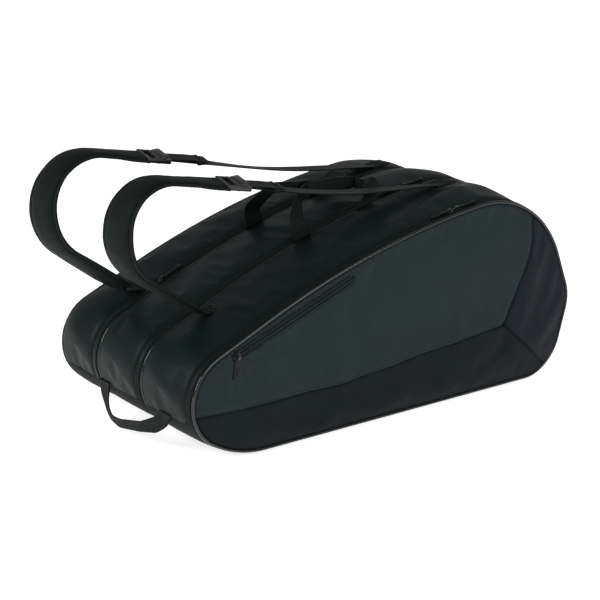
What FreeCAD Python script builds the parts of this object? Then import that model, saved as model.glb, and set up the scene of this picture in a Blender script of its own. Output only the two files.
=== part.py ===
import FreeCAD, Part
import math
import os

# Racket tournament bag, standing on its base. Millimetres, +Z up, +X towards the racket heads,
# -Y towards the pocket side. The origin is on the ground under the middle of the base.
#
# The bag is three tubs side by side, each one a band of fabric round a profile, and a side panel.
# Zips part the tubs from each other and the side panel from the first tub, and the base fabric
# under each zip is the hinge. The front tub is the one beside the side panel.

Vector = FreeCAD.Vector
Placement = FreeCAD.Placement
Rotation = FreeCAD.Rotation

Y_AXIS = Vector(0, 1, 0)

DIMENSIONS = {
    # The profile's corners, which large arcs round off. The tail holds the racket grips.
    "tail_foot_x": -300, "tail_foot_round": 178,
    "tail_tip_x": -462, "tail_tip_up": 102, "tail_tip_round": 74,
    "back_x": -64, "back_up": 281, "back_round": 1470,
    "head_top_x": 294, "head_top_up": 332, "head_top_round": 183,
    "head_tip_x": 383, "head_tip_up": 131, "head_tip_round": 69,
    "head_foot_x": 350, "head_foot_round": 78,
    # How much higher the top runs at each seam than at the side panel.
    "front_rise": 1.037, "middle_rise": 1.014,
    # Across the bag.
    "half_width": 178, "front_seam_y": -53, "middle_seam_y": 68, "base_seam_up": 62,
    "piping_radius": 2.5, "tape_width": 7.35, "tape_thickness": 1.5, "tape_sink": 0.5,
    "zip_gap": 0.3,
    "gusset_thickness": 4, "divider_thickness": 4, "divider_inset": 8, "panel_thickness": 5,
    "skin_thickness": 2,
    "board_length": 480, "board_thickness": 2.5, "board_margin": 6, "board_corner": 12,
    # Side panel: the seams between its cloths and the pocket zip.
    "lower_seam_up": 76, "lower_seam_bend_x": -110, "lower_seam_round": 600,
    "seam_corner_x": 226, "seam_corner_up": 108,
    "head_seam_bend_x": 284, "head_seam_bend_up": 222, "head_seam_top_x": 274,
    "head_seam_round": 120, "foot_seam_x": 345, "foot_seam_up": 6,
    "pocket_zip_x": -311, "pocket_zip_up": 152, "pocket_zip_length": 234,
    "pocket_zip_angle": 21, "pocket_tape_width": 11,
    # Zip sliders and pullers.
    "slider_length": 12, "slider_width": 8, "slider_plate": 1.8, "slider_lift": 0.4,
    "arch_length": 8, "arch_rise": 4.0, "arch_wall": 1.4, "arch_width": 2.4,
    "puller_length": 38, "puller_width": 8, "puller_thickness": 1.8, "puller_neck": 5.5,
    "puller_pin": 1.6, "pivot_lift": 3.7,
    "post_diameter": 2.6, "post_cap": 5, "post_clearance": 0.4,
    "front_slider_tail_x": 108, "front_slider_head_x": 124,
    "side_slider_tail_x": 106, "side_slider_head_x": 122, "rear_slider_x": -258,
    # Shoulder straps: a padded band in the XZ plane, a ladder lock and webbing up to the top.
    "rear_strap_y": 95, "front_strap_y": -79, "pad_width": 60, "pad_thickness": 9,
    "lock_length": 34, "lock_width": 34, "lock_thickness": 6, "lock_slot": 5, "lock_bar": 5,
    "webbing_width": 25, "webbing_thickness": 2, "webbing_round": 1500,
    "tab_length": 34, "tab_thickness": 2.5, "tab_gap": 5, "patch_length": 36,
    "patch_width": 29, "patch_gap": 1, "sewn_lift": 0.5, "web_end_lift": 3.5,
    "rear_strap_foot_x": -322, "rear_strap_foot_up": 190,
    "rear_strap_knee_x": -459, "rear_strap_knee_up": 286, "rear_strap_knee_round": 88,
    "rear_strap_crown_x": -449, "rear_strap_crown_up": 419, "rear_strap_crown_round": 74,
    "rear_strap_end_x": -281, "rear_strap_end_up": 389,
    "rear_web_bend_x": -30, "rear_web_bend_up": 340, "rear_web_end_x": 165,
    "front_strap_foot_x": -306, "front_strap_foot_up": 195,
    "front_strap_knee_x": -442, "front_strap_knee_up": 283, "front_strap_knee_round": 80,
    "front_strap_crown_x": -433, "front_strap_crown_up": 409, "front_strap_crown_round": 66,
    "front_strap_end_x": -260, "front_strap_end_up": 379,
    "front_web_bend_x": -70, "front_web_bend_up": 340, "front_web_end_x": 150,
    # Carry handles: two webbing loops gathered in one padded grip.
    "handle_width": 30, "handle_thickness": 2.5, "handle_tail_x": -90, "handle_head_x": 30,
    "handle_tail_knee_x": -88, "handle_head_knee_x": 52, "handle_stand": 26,
    "handle_grip_height": 17, "grip_tail_x": -48, "grip_head_x": 52, "grip_up": 328,
    "grip_y": 8, "grip_spacing": 8, "grip_thickness": 7, "grip_height": 22, "grip_length": 92,
    # Grab handle, which hangs at the tail end.
    "grab_thickness": 2.5, "grab_x": -375.8, "grab_bulge": 9, "grab_up": 55.5,
    "grab_rear_y": 56, "grab_front_y": -98,
}

doc = FreeCAD.newDocument("racket_tournament_bag")
sheet = doc.addObject("Spreadsheet::Sheet", "dims")
for row, (alias, value) in enumerate(DIMENSIONS.items(), start=1):
    sheet.set(f"A{row}", alias)
    sheet.set(f"B{row}", str(value))
    sheet.setAlias(f"B{row}", alias)
doc.recompute()


def dim(alias):
    return float(sheet.get(alias))


# ---------------------------------------------------------------- profiles in the XZ plane

def left_of(direction):
    return Vector(-direction.z, 0, direction.x)


def shifted_corners(points, closed, shift):
    """The corners of a polyline after each of its runs moves to its left by shift."""
    count = len(points)
    runs = [(points[(i + 1) % count] - points[i]).normalize() for i in range(count - (not closed))]
    corners = []
    for i, point in enumerate(points):
        before = runs[i - 1] if closed or i > 0 else runs[0]
        after = runs[i] if i < len(runs) else runs[-1]
        middle = (left_of(before) + left_of(after)).normalize()
        corners.append(point + middle * (shift / middle.dot(left_of(after))))
    return corners


def corner_arc(before, corner, after, radius):
    """Start, middle and end of the arc that rounds a corner, and the arc's centre."""
    inward = (before - corner).normalize()
    outward = (after - corner).normalize()
    half_angle = inward.getAngle(outward) / 2
    reach = radius / math.tan(half_angle)
    centre = corner + (inward + outward).normalize() * (radius / math.sin(half_angle))
    middle = centre + (corner - centre).normalize() * radius
    return corner + inward * reach, middle, corner + outward * reach, centre


def rounded_edges(points, radii, closed=False, shift=0.0):
    """Edges of a polyline with rounded corners, moved to the left of its direction by shift."""
    corners = shifted_corners(points, closed, shift)
    count = len(corners)
    arcs = []
    for i in range(0 if closed else 1, count if closed else count - 1):
        before, corner, after = corners[i - 1], corners[i], corners[(i + 1) % count]
        turns_left = left_of(corner - before).dot(after - corner) > 0
        radius = radii[i] - shift if turns_left else radii[i] + shift
        arcs.append(corner_arc(before, corner, after, radius)[:3])
    stops = [arc[2] for arc in arcs]
    starts = [arc[0] for arc in arcs]
    if closed:
        runs = list(zip(stops, starts[1:] + starts[:1]))
    else:
        runs = list(zip(stops, starts[1:] + [corners[-1]]))
    edges = [] if closed else [Part.LineSegment(corners[0], starts[0] if starts else corners[-1])]
    for arc, run in zip(arcs, runs):
        edges.append(Part.Arc(*arc))
        if run[0].distanceToPoint(run[1]) > 1e-6:
            edges.append(Part.LineSegment(*run))
    return edges


def point_xz(name):
    """A corner whose sheet cells are NAME_x and NAME_up, or NAME_x on the ground."""
    up = dim(name + "_up") if name + "_up" in DIMENSIONS else 0.0
    return Vector(dim(name + "_x"), 0, up)


PROFILE_CORNERS = ("tail_foot", "tail_tip", "back", "head_top", "head_tip", "head_foot")


def profile_points(rise):
    points = [point_xz(name) for name in PROFILE_CORNERS]
    return [Vector(point.x, 0, point.z * rise) for point in points]


def profile_edges(rise=1.0, inset=0.0):
    radii = [dim(name + "_round") for name in PROFILE_CORNERS]
    return rounded_edges(profile_points(rise), radii, closed=True, shift=-inset)


def profile_wire(y, rise=1.0, inset=0.0):
    wire = Part.Wire([edge.toShape() for edge in profile_edges(rise, inset)])
    wire.translate(Vector(0, y, 0))
    return wire


def top_centre(rise):
    """Centre of the long arc that the top of the bag follows at a seam."""
    points = profile_points(rise)
    return corner_arc(points[1], points[2], points[3], dim("back_round"))[3]


def top_point(x, rise, lift=0.0):
    """A point on the long top arc, lift above the cloth, and the slope there in degrees."""
    centre = top_centre(rise)
    radius = dim("back_round") + lift
    lean = math.asin((x - centre.x) / dim("back_round"))
    point = centre + Vector(math.sin(lean), 0, math.cos(lean)) * radius
    return point, -math.degrees(lean)


def thick_path(points, radii, thickness):
    """A closed face of even thickness along a rounded path in the XZ plane."""
    left = [edge.toShape() for edge in rounded_edges(points, radii, shift=thickness / 2)]
    right = [edge.toShape() for edge in rounded_edges(points, radii, shift=-thickness / 2)]
    starts = [side[0].firstVertex(True).Point for side in (left, right)]
    ends = [side[-1].lastVertex(True).Point for side in (left, right)]
    caps = [Part.makeLine(*starts), Part.makeLine(*ends)]
    return Part.Face(Part.Wire(Part.__sortEdges__(left + right + caps)))


# ---------------------------------------------------------------- places across the bag

HALF_WIDTH = dim("half_width")
PIPING = dim("piping_radius")
TAPE = dim("tape_width")
HALF_GAP = dim("zip_gap") / 2
SIDE_SEAM = -HALF_WIDTH + PIPING
FRONT_SEAM = dim("front_seam_y")
MIDDLE_SEAM = dim("middle_seam_y")
REAR_SEAM = HALF_WIDTH - PIPING
RISE = {SIDE_SEAM: 1.0, FRONT_SEAM: dim("front_rise"), MIDDLE_SEAM: dim("middle_rise"),
        REAR_SEAM: 1.0}


def zip_line(seam):
    """Y of the line where a zip parts: a tape's width behind the piping."""
    return seam + PIPING + TAPE + HALF_GAP


# ---------------------------------------------------------------- makers of document objects

sub_parts = []


def add_feature(label, shape):
    feature = doc.addObject("Part::Feature", label)
    feature.Label = label
    feature.Shape = shape
    sub_parts.append(feature)
    return feature


def new_body(label):
    body = doc.addObject("PartDesign::Body", label)
    body.Label = label
    sub_parts.append(body)
    return body


def add_sketch(body, role, geometry, offset=0.0):
    """A sketch on one of the body's own origin planes, offset along the plane's normal."""
    plane = next(item for item in body.Origin.OriginFeatures if item.Role == role)
    sketch = body.newObject("Sketcher::SketchObject", body.Label + "_sketch")
    sketch.AttachmentSupport = [(plane, "")]
    sketch.MapMode = "FlatFace"
    sketch.AttachmentOffset = Placement(Vector(0, 0, offset), Rotation())
    sketch.addGeometry(geometry, False)
    return sketch


def add_pad(body, sketch, length, midplane=False, reverse=False):
    """Pads a sketch by a length given as an expression on the sheet."""
    pad = body.newObject("PartDesign::Pad", body.Label + "_pad")
    pad.Profile = sketch
    pad.Midplane = midplane
    pad.Reversed = reverse
    pad.setExpression("Length", length)
    doc.recompute()
    return pad


def add_pocket(body, sketch):
    """Cuts a sketch through the body both ways, and checks that it removed something."""
    before = body.Shape.Volume
    pocket = body.newObject("PartDesign::Pocket", body.Label + "_pocket")
    pocket.Profile = sketch
    pocket.Type = 1
    pocket.Midplane = True
    doc.recompute()
    if body.Shape.Volume >= before:
        raise RuntimeError(body.Label + ": the pocket cut nothing")
    return pocket


def closed_lines(corners):
    """Line segments through flat (x, y) corners, closed."""
    points = [Vector(x, y, 0) for x, y in corners]
    return [Part.LineSegment(points[i - 1], points[i]) for i in range(len(points))]


def rectangle(centre_x, centre_y, size_x, size_y):
    left, right = centre_x - size_x / 2, centre_x + size_x / 2
    low, high = centre_y - size_y / 2, centre_y + size_y / 2
    return closed_lines([(left, low), (right, low), (right, high), (left, high)])


def in_sketch(edges):
    """Profile edges of the XZ plane as sketch geometry, whose second coordinate is Z."""
    flat = []
    for edge in edges:
        if isinstance(edge, Part.Arc):
            ends = (edge.value(edge.FirstParameter), edge.value(edge.LastParameter))
            middle = edge.value((edge.FirstParameter + edge.LastParameter) / 2)
            start, through, stop = (Vector(p.x, p.z, 0) for p in (ends[0], middle, ends[1]))
            flat.append(Part.Arc(start, through, stop))
        else:
            ends = (edge.StartPoint, edge.EndPoint)
            flat.append(Part.LineSegment(*(Vector(p.x, p.z, 0) for p in ends)))
    return flat


# ---------------------------------------------------------------- fabric bands round the profile

def band(y_near, y_far, rise_near, rise_far, inset, thickness):
    """A band of fabric round the whole profile, between two seams."""
    shells = []
    for depth in (inset, inset + thickness):
        wires = [profile_wire(y_near, rise_near, depth), profile_wire(y_far, rise_far, depth)]
        shells.append(Part.makeLoft(wires, True, True))
    return shells[0].cut(shells[1])


def block_above(height):
    reach = 2 * HALF_WIDTH + 2 * abs(dim("tail_tip_x"))
    block = Part.makeBox(reach, reach, reach)
    block.translate(Vector(-reach / 2, -reach / 2, height))
    return block


ABOVE_BASE = block_above(dim("base_seam_up"))
ABOVE_SEAM = block_above(dim("base_seam_up") + dim("zip_gap"))


def tape_band(y_near, y_far, rise):
    return band(y_near, y_far, rise, rise, dim("tape_sink"), dim("tape_thickness"))


def add_tub(name, seam, next_seam, closed_at_rear):
    """Gusset, base, zip tape and base board of one tub between two seams."""
    zip_y = zip_line(seam)
    rise, next_rise = RISE[seam], RISE[next_seam]
    far = next_seam - PIPING
    cloth_near = zip_y + HALF_GAP + TAPE
    gusset = band(cloth_near, far, rise, next_rise, 0, dim("gusset_thickness"))
    add_feature(name + "_gusset", gusset.common(ABOVE_BASE))
    base_near = seam + PIPING if seam == SIDE_SEAM else zip_y
    base_far = far if closed_at_rear else zip_line(next_seam) - HALF_GAP
    base = band(base_near + HALF_GAP, base_far, 1.0, 1.0, 0, dim("gusset_thickness"))
    add_feature(name + "_base", base.cut(ABOVE_BASE))
    tape = tape_band(zip_y + HALF_GAP, cloth_near, rise)
    add_feature(name + "_zip_tape", tape.common(ABOVE_BASE))
    add_base_board(name + "_base_board", zip_y + HALF_GAP, far - dim("divider_thickness"))


def add_base_board(label, y_near, y_far):
    """A stiff board lying inside on the base cloth, with rounded corners."""
    margin = dim("board_margin")
    body = new_body(label)
    middle = (y_near + y_far) / 2
    width = y_far - y_near - 2 * margin
    geometry = rectangle(0, middle, dim("board_length"), width)
    sketch = add_sketch(body, "XY_Plane", geometry, dim("gusset_thickness"))
    pad = add_pad(body, sketch, "dims.board_thickness")
    corners = body.newObject("PartDesign::Fillet", label + "_corners")
    upright = [f"Edge{i}" for i, edge in enumerate(pad.Shape.Edges, start=1)
               if abs(edge.tangentAt(edge.FirstParameter).z) > 0.99]
    corners.Base = (pad, upright)
    corners.setExpression("Radius", "dims.board_corner")
    doc.recompute()


def add_divider(label, seam):
    """The padded wall behind a tub, sewn in at the piping's seam."""
    body = new_body(label)
    thickness = dim("divider_thickness")
    geometry = in_sketch(profile_edges(1.0, dim("divider_inset")))
    sketch = add_sketch(body, "XZ_Plane", geometry, -(seam - PIPING - thickness))
    add_pad(body, sketch, "dims.divider_thickness", reverse=True)


def add_piping(label, seam, above_base_only):
    """A round cord covered in vinyl, sewn into the seam so that it lies flush with the cloth."""
    path = profile_wire(seam, RISE[seam], PIPING)
    start = path.OrderedEdges[0]
    origin = start.valueAt(start.FirstParameter)
    direction = start.tangentAt(start.FirstParameter)
    section = Part.Wire(Part.makeCircle(PIPING, origin, direction))
    tube = path.makePipeShell([section], True, False)
    if above_base_only:
        tube = tube.common(ABOVE_BASE)
    add_feature(label, tube)


def add_panel_tape(label, seam):
    """The half of a zip that is sewn to the piping."""
    tape = tape_band(seam + PIPING, zip_line(seam) - HALF_GAP, RISE[seam])
    add_feature(label, tape.common(ABOVE_SEAM))


# ---------------------------------------------------------------- side panel and rear panel

def add_rear_panel():
    body = new_body("rear_panel")
    geometry = in_sketch(profile_edges(1.0, 2 * PIPING))
    sketch = add_sketch(body, "XZ_Plane", geometry, -(HALF_WIDTH - 2 * PIPING))
    add_pad(body, sketch, "dims.panel_thickness", reverse=True)


def add_side_foam():
    body = new_body("side_foam")
    geometry = in_sketch(profile_edges(1.0, 2 * PIPING))
    sketch = add_sketch(body, "XZ_Plane", geometry, HALF_WIDTH - dim("skin_thickness"))
    add_pad(body, sketch, "dims.panel_thickness", reverse=True)


def seam_curves():
    """The three seams of the side panel's cloths, each from the panel's edge to their corner."""
    corner = point_xz("seam_corner")
    low_start = Vector(dim("tail_tip_x"), 0, dim("lower_seam_up"))
    low_bend = Vector(dim("lower_seam_bend_x"), 0, dim("lower_seam_up"))
    lower = rounded_edges([low_start, low_bend, corner], [0, dim("lower_seam_round"), 0])
    head_top = Vector(dim("head_seam_top_x"), 0, dim("head_top_up"))
    bend = point_xz("head_seam_bend")
    head = rounded_edges([corner, bend, head_top], [0, dim("head_seam_round"), 0])
    return lower, head, Part.LineSegment(corner, point_xz("foot_seam"))


def add_skin(label, cut_outlines):
    """One cloth of the side panel: the panel's outline less what the other cloths cover."""
    body = new_body(label)
    geometry = in_sketch(profile_edges(1.0, 2 * PIPING))
    sketch = add_sketch(body, "XZ_Plane", geometry, HALF_WIDTH)
    add_pad(body, sketch, "dims.skin_thickness", reverse=True)
    for outline in cut_outlines:
        add_pocket(body, add_sketch(body, "XZ_Plane", outline, HALF_WIDTH))
    return body


def around(edges, corners):
    """Closes an open chain of seam edges with straight lines through outer corners."""
    chain = in_sketch(edges)
    start, end = end_points(chain)
    points = [end] + [Vector(x, z, 0) for x, z in corners] + [start]
    return chain + [Part.LineSegment(points[i], points[i + 1]) for i in range(len(points) - 1)]


def end_points(chain):
    first, last = chain[0], chain[-1]
    return first.value(first.FirstParameter), last.value(last.LastParameter)


def pocket_zip_frame():
    angle = math.radians(dim("pocket_zip_angle"))
    return point_xz("pocket_zip"), Vector(math.cos(angle), 0, math.sin(angle))


def pocket_slot():
    """The slot that the pocket zip's tape fills, in sketch coordinates."""
    start, along = pocket_zip_frame()
    across = left_of(along) * (dim("pocket_tape_width") / 2)
    end = start + along * dim("pocket_zip_length")
    corners = [start - across, end - across, end + across, start + across]
    return closed_lines([(corner.x, corner.z) for corner in corners])


def add_side_skins():
    lower, head, foot = seam_curves()
    far_x, far_up = 2 * abs(dim("tail_tip_x")), 2 * dim("head_top_up")
    foot_end = (foot.EndPoint.x, foot.EndPoint.z)
    below = around(lower + [foot], [(foot_end[0], -far_x), (-far_x, -far_x)])
    above = around(lower + [foot], [(far_x, foot_end[1]), (far_x, far_up), (-far_x, far_up)])
    beyond_head = around(head, [(far_x, far_up), (far_x, foot_end[1]), foot_end])
    before_head = around(head, [(-far_x, far_up), (-far_x, -far_x), (foot_end[0], -far_x), foot_end])
    add_skin("side_pocket_cloth", [below, beyond_head, pocket_slot()])
    add_skin("side_lower_cloth", [above])
    add_skin("side_head_cloth", [before_head])
    tape = new_body("pocket_zip_tape")
    sketch = add_sketch(tape, "XZ_Plane", pocket_slot(), HALF_WIDTH)
    add_pad(tape, sketch, "dims.skin_thickness", reverse=True)


# ---------------------------------------------------------------- zip sliders and pullers

def add_slider(label, placement):
    """A slider: a plate over the teeth and an arch that the puller's pin hangs in."""
    body = new_body(label)
    lift, plate = dim("slider_lift"), dim("slider_plate")
    base = rectangle(0, 0, dim("slider_length"), dim("slider_width"))
    add_pad(body, add_sketch(body, "XY_Plane", base, lift), "dims.slider_plate")
    half, wall = dim("arch_length") / 2, dim("arch_wall")
    foot, top = lift + plate, lift + plate + dim("arch_rise")
    arch = closed_lines([(-half, foot), (-half, top), (half, top), (half, foot),
                         (half - wall, foot), (half - wall, top - wall),
                         (wall - half, top - wall), (wall - half, foot)])
    add_pad(body, add_sketch(body, "XZ_Plane", arch), "dims.arch_width", midplane=True)
    body.Placement = placement


def add_puller(label, placement):
    """A moulded puller that forks round the arch and turns on a pin through it."""
    body = new_body(label)
    half, neck = dim("puller_width") / 2, dim("puller_neck")
    slot = dim("arch_width") / 2 + dim("post_clearance")
    pin = dim("puller_pin") / 2
    outline = closed_lines([(-pin, slot), (-pin, half), (dim("puller_length"), half),
                            (dim("puller_length"), -half), (-pin, -half), (-pin, -slot),
                            (neck, -slot), (neck, slot)])
    lift = dim("pivot_lift")
    sketch = add_sketch(body, "XY_Plane", outline, lift)
    add_pad(body, sketch, "dims.puller_thickness", midplane=True)
    circle = [Part.Circle(Vector(0, lift, 0), Vector(0, 0, 1), pin)]
    add_pad(body, add_sketch(body, "XZ_Plane", circle), "2 * dims.arch_width", midplane=True)
    body.Placement = placement


def on_top(x, seam, flipped=False):
    """Placement of a slider on a zip's line where it crosses the long top arc."""
    point, slope = top_point(x, RISE[seam])
    rotation = Rotation(Y_AXIS, -slope)
    if flipped:
        rotation = rotation * Rotation(Vector(0, 0, 1), 180)
    return Placement(Vector(point.x, zip_line(seam), point.z), rotation)


def add_zip_pulls():
    sites = (("rear_zip", "rear_slider_x", MIDDLE_SEAM, False),
             ("front_zip_tail", "front_slider_tail_x", FRONT_SEAM, True),
             ("front_zip_head", "front_slider_head_x", FRONT_SEAM, False),
             ("side_zip_tail", "side_slider_tail_x", SIDE_SEAM, True),
             ("side_zip_head", "side_slider_head_x", SIDE_SEAM, False))
    for name, alias, seam, flipped in sites:
        placement = on_top(dim(alias), seam, flipped)
        add_slider(name + "_slider", placement)
        add_puller(name + "_puller", placement)


def add_pocket_pull():
    """The pocket's slider has a post, so that its puller hangs straight down."""
    start, along = pocket_zip_frame()
    inward = dim("slider_length") / 2
    place = Placement(start + along * inward - Vector(0, HALF_WIDTH, 0),
                      Rotation(Vector(1, 0, 0), 90))
    lift, plate = dim("slider_lift"), dim("slider_plate")
    slider = new_body("pocket_zip_slider")
    base = rectangle(0, 0, dim("slider_length"), dim("slider_width"))
    add_pad(slider, add_sketch(slider, "XY_Plane", base, lift), "dims.slider_plate")
    foot = lift + plate
    for name, diameter, low, height in (
            ("post", dim("post_diameter"), foot, "dims.arch_rise"),
            ("cap", dim("post_cap"), foot + dim("arch_rise"), "dims.arch_wall")):
        circle = [Part.Circle(Vector(0, 0, 0), Vector(0, 0, 1), diameter / 2)]
        add_pad(slider, add_sketch(slider, "XY_Plane", circle, low), height)
    turned = Rotation(Vector(0, 0, 1), dim("pocket_zip_angle"))
    slider.Placement = Placement(place.Base, place.Rotation * turned)
    puller = new_body("pocket_zip_puller")
    half = dim("puller_width") / 2
    outline = closed_lines([(-half, half), (half, half), (half, -dim("puller_length")),
                            (-half, -dim("puller_length"))])
    hole = Part.Circle(Vector(0, 0, 0), Vector(0, 0, 1),
                       dim("post_diameter") / 2 + dim("post_clearance"))
    middle = foot + dim("arch_rise") / 2
    sketch = add_sketch(puller, "XY_Plane", outline + [hole], middle)
    add_pad(puller, sketch, "dims.puller_thickness", midplane=True)
    puller.Placement = place


# ---------------------------------------------------------------- shoulder straps

def rounded_path(names, rounds):
    return [point_xz(name) for name in names], [0] + [dim(name) for name in rounds] + [0]


def extrude_band(face, middle_y, width):
    solid = face.extrude(Vector(0, width, 0))
    solid.translate(Vector(0, middle_y - width / 2, 0))
    return solid


def cloth_top(x, y):
    """Height of a tub's cloth at a place on the long top arc, between two seams."""
    seams = sorted(RISE)
    near = max(seam for seam in seams if seam <= y)
    far = min(seam for seam in seams if seam > y)
    cloth_near, cloth_far = zip_line(near) + HALF_GAP + TAPE, far - PIPING
    share = min(max((y - cloth_near) / (cloth_far - cloth_near), 0.0), 1.0)
    low, high = (top_point(x, RISE[seam])[0].z for seam in (near, far))
    return low + (high - low) * share


def resting_height(x, middle_y, width):
    """Height at which a flat band of that width lies just clear of a tub's cloth."""
    edges = (middle_y - width / 2, middle_y + width / 2)
    return max(cloth_top(x, y) for y in edges) + dim("sewn_lift")


def add_strap(name):
    middle_y = dim(name + "_y")
    path, radii = rounded_path((name + "_foot", name + "_knee", name + "_crown", name + "_end"),
                               (name + "_knee_round", name + "_crown_round"))
    pad = extrude_band(thick_path(path, radii, dim("pad_thickness")), middle_y, dim("pad_width"))
    add_feature(name + "_pad", pad)
    along = (path[3] - path[2]).normalize()
    add_ladder_lock(name + "_ladder_lock", path[3], along, middle_y)
    lock_end = path[3] + along * (dim("lock_length") + dim("zip_gap"))
    web_name = name.replace("strap", "web")
    top_x = dim(web_name + "_end_x")
    height = resting_height(top_x, middle_y, dim("webbing_width"))
    top = Vector(top_x, 0, height + dim("web_end_lift"))
    bend = point_xz(web_name + "_bend")
    face = thick_path([lock_end, bend, top], [0, dim("webbing_round"), 0],
                      dim("webbing_thickness"))
    add_feature(name + "_webbing", extrude_band(face, middle_y, dim("webbing_width")))
    add_foot_tab(name + "_foot_tab", path[0], path[1], middle_y)
    add_top_patch(name + "_top_patch", top_x, middle_y)


def add_ladder_lock(label, start, along, middle_y):
    """A plastic frame with two slots and a bar between them."""
    body = new_body(label)
    length, width = dim("lock_length"), dim("lock_width")
    slot, bar = dim("lock_slot"), dim("lock_bar")
    clear = dim("zip_gap")
    sketch = add_sketch(body, "XY_Plane", rectangle(clear + length / 2, 0, length, width))
    add_pad(body, sketch, "dims.lock_thickness", midplane=True)
    opening = dim("webbing_width") + 2
    for position in (bar + slot / 2, length - bar - slot / 2):
        hole = rectangle(clear + position, 0, slot, opening)
        add_pocket(body, add_sketch(body, "XY_Plane", hole))
    angle = math.degrees(math.atan2(along.z, along.x))
    body.Placement = Placement(Vector(start.x, middle_y, start.z), Rotation(Y_AXIS, -angle))


def add_foot_tab(label, foot, knee, middle_y):
    """A short tab of webbing from the gusset to the pad's foot."""
    toward = (knee - foot).normalize()
    start = foot - toward * dim("tab_gap")
    sewn_x = foot.x + dim("tab_length")
    height = resting_height(sewn_x, middle_y, dim("webbing_width"))
    sewn = Vector(sewn_x, 0, height + dim("tab_thickness") / 2)
    face = thick_path([start, sewn], [0, 0], dim("tab_thickness"))
    add_feature(label, extrude_band(face, middle_y, dim("webbing_width")))


def add_top_patch(label, x, middle_y):
    """A folded patch of webbing sewn flat on the gusset, where a strap's webbing ends."""
    thickness = 2 * dim("webbing_thickness")
    width = dim("patch_width")
    ends = [Vector(place, 0, resting_height(place, middle_y, width) + thickness / 2)
            for place in (x + dim("patch_gap"), x + dim("patch_length"))]
    face = thick_path(ends, [0, 0], thickness)
    add_feature(label, extrude_band(face, middle_y, width))


# ---------------------------------------------------------------- handles

def triangle(a, b, c):
    return Part.Face(Part.makePolygon([a, b, c, a]))


def quad_faces(near, far, i):
    """Two triangles between sides of neighbouring sections, with the band's two faces alike."""
    a, b, c, d = near[i - 1], near[i], far[i], far[i - 1]
    if i == 3:
        return [triangle(a, b, d), triangle(b, c, d)]
    return [triangle(a, b, c), triangle(a, c, d)]


def plank(sections, half_thick):
    """A band through sections, each a centre, a half-width vector and a mitre direction."""
    rings = []
    for centre, side, direction in sections:
        thick = direction.cross(side).normalize() * (half_thick / direction.Length)
        rings.append([centre + side + thick, centre - side + thick,
                      centre - side - thick, centre + side - thick])
    faces = [Part.Face(Part.makePolygon(ring + ring[:1])) for ring in (rings[0], rings[-1])]
    for near, far in zip(rings, rings[1:]):
        for i in range(4):
            faces += quad_faces(near, far, i)
    solid = Part.Solid(Part.Shell(faces))
    if solid.Volume < 0:
        solid.reverse()
    return solid


def add_carry_handle(label, seam, side):
    """Webbing sewn into the piping's seam at both ends, leaning in to the grip over the middle."""
    half_thick = dim("handle_thickness") / 2
    half_wide = dim("handle_width") / 2
    grip_y = dim("grip_y") + side * dim("grip_spacing")
    slant = half_wide * math.sqrt(0.5)
    upright = Vector(0, 0, -dim("handle_grip_height") / 2)
    sections = []
    for end, turn in (("tail", 1), ("head", -1)):
        place, slope = top_point(dim(f"handle_{end}_x"), RISE[seam], dim("sewn_lift"))
        foot = place + Vector(0, seam, 0)
        flat = Rotation(Y_AXIS, -slope).multVec(Vector(half_wide, 0, 0))
        knee = Vector(dim(f"handle_{end}_knee_x"), seam - side, foot.z + dim("handle_stand"))
        grip = Vector(dim(f"grip_{end}_x"), grip_y, dim("grip_up"))
        rising = Vector(0, 0, turn)
        leaning = (grip - knee).normalize() * turn
        leg = [(foot, flat * turn, rising),
               (knee, Vector(slant * turn, 0, -slant), (rising + leaning) / 2),
               (grip, upright, (leaning + Vector(1, 0, 0)) / 2)]
        sections += leg if turn > 0 else leg[::-1]
    handle = plank(sections, half_thick)
    add_feature(label, handle)
    return handle


def add_grip(handle):
    """The padded sleeve closed round the front handle's middle."""
    length, height = dim("grip_length"), dim("grip_height")
    depth = 2 * dim("grip_thickness")
    middle_x = (dim("grip_tail_x") + dim("grip_head_x")) / 2
    middle_y = dim("grip_y") - dim("grip_spacing")
    sleeve = Part.makeBox(length, depth, height)
    sleeve.translate(Vector(middle_x - length / 2, middle_y - depth / 2,
                            dim("grip_up") - height / 2))
    long_edges = [edge for edge in sleeve.Edges
                  if abs(edge.tangentAt(edge.FirstParameter).x) > 0.99]
    add_feature("carry_handle_grip", sleeve.makeFillet(height / 5, long_edges).cut(handle))


# The grab handle's course, from its rear foot round to its front foot: place along the base seam
# as a share of the way, drop below the seam, and the half-width's Y and Z.
GRAB_COURSE = ((0.0, 0.0, 12.5, 0.0), (-0.0065, 14.0, 11.0, 0.0), (0.026, 25.5, 4.0, -1.0),
               (0.078, 36.5, 2.0, -2.5), (0.156, 44.5, 0.0, -4.0), (0.331, 42.5, 0.0, -7.0),
               (0.695, 26.5, 0.0, -7.5), (0.883, 12.0, -5.0, -8.0), (1.0, 0.0, -13.0, 0.0))


def add_grab_handle():
    """Webbing sewn into the base seam at the tail end, which hangs in a loop that twists."""
    rear, front = dim("grab_rear_y"), dim("grab_front_y")
    places = [Vector(0, rear + (front - rear) * share, dim("grab_up") - drop)
              for share, drop, side_y, side_z in GRAB_COURSE]
    sections = []
    for i, (share, drop, side_y, side_z) in enumerate(GRAB_COURSE):
        before, after = places[max(i - 1, 0)], places[min(i + 1, len(places) - 1)]
        sag = math.sin(math.pi * share) if 0 < share < 1 else 0.0
        x = dim("grab_x") - dim("grab_bulge") * sag
        sections.append((places[i] + Vector(x, 0, 0), Vector(0, side_y, side_z),
                         (after - before).normalize()))
    add_feature("grab_handle", plank(sections, dim("grab_thickness") / 2))


# ---------------------------------------------------------------- the bag

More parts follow.
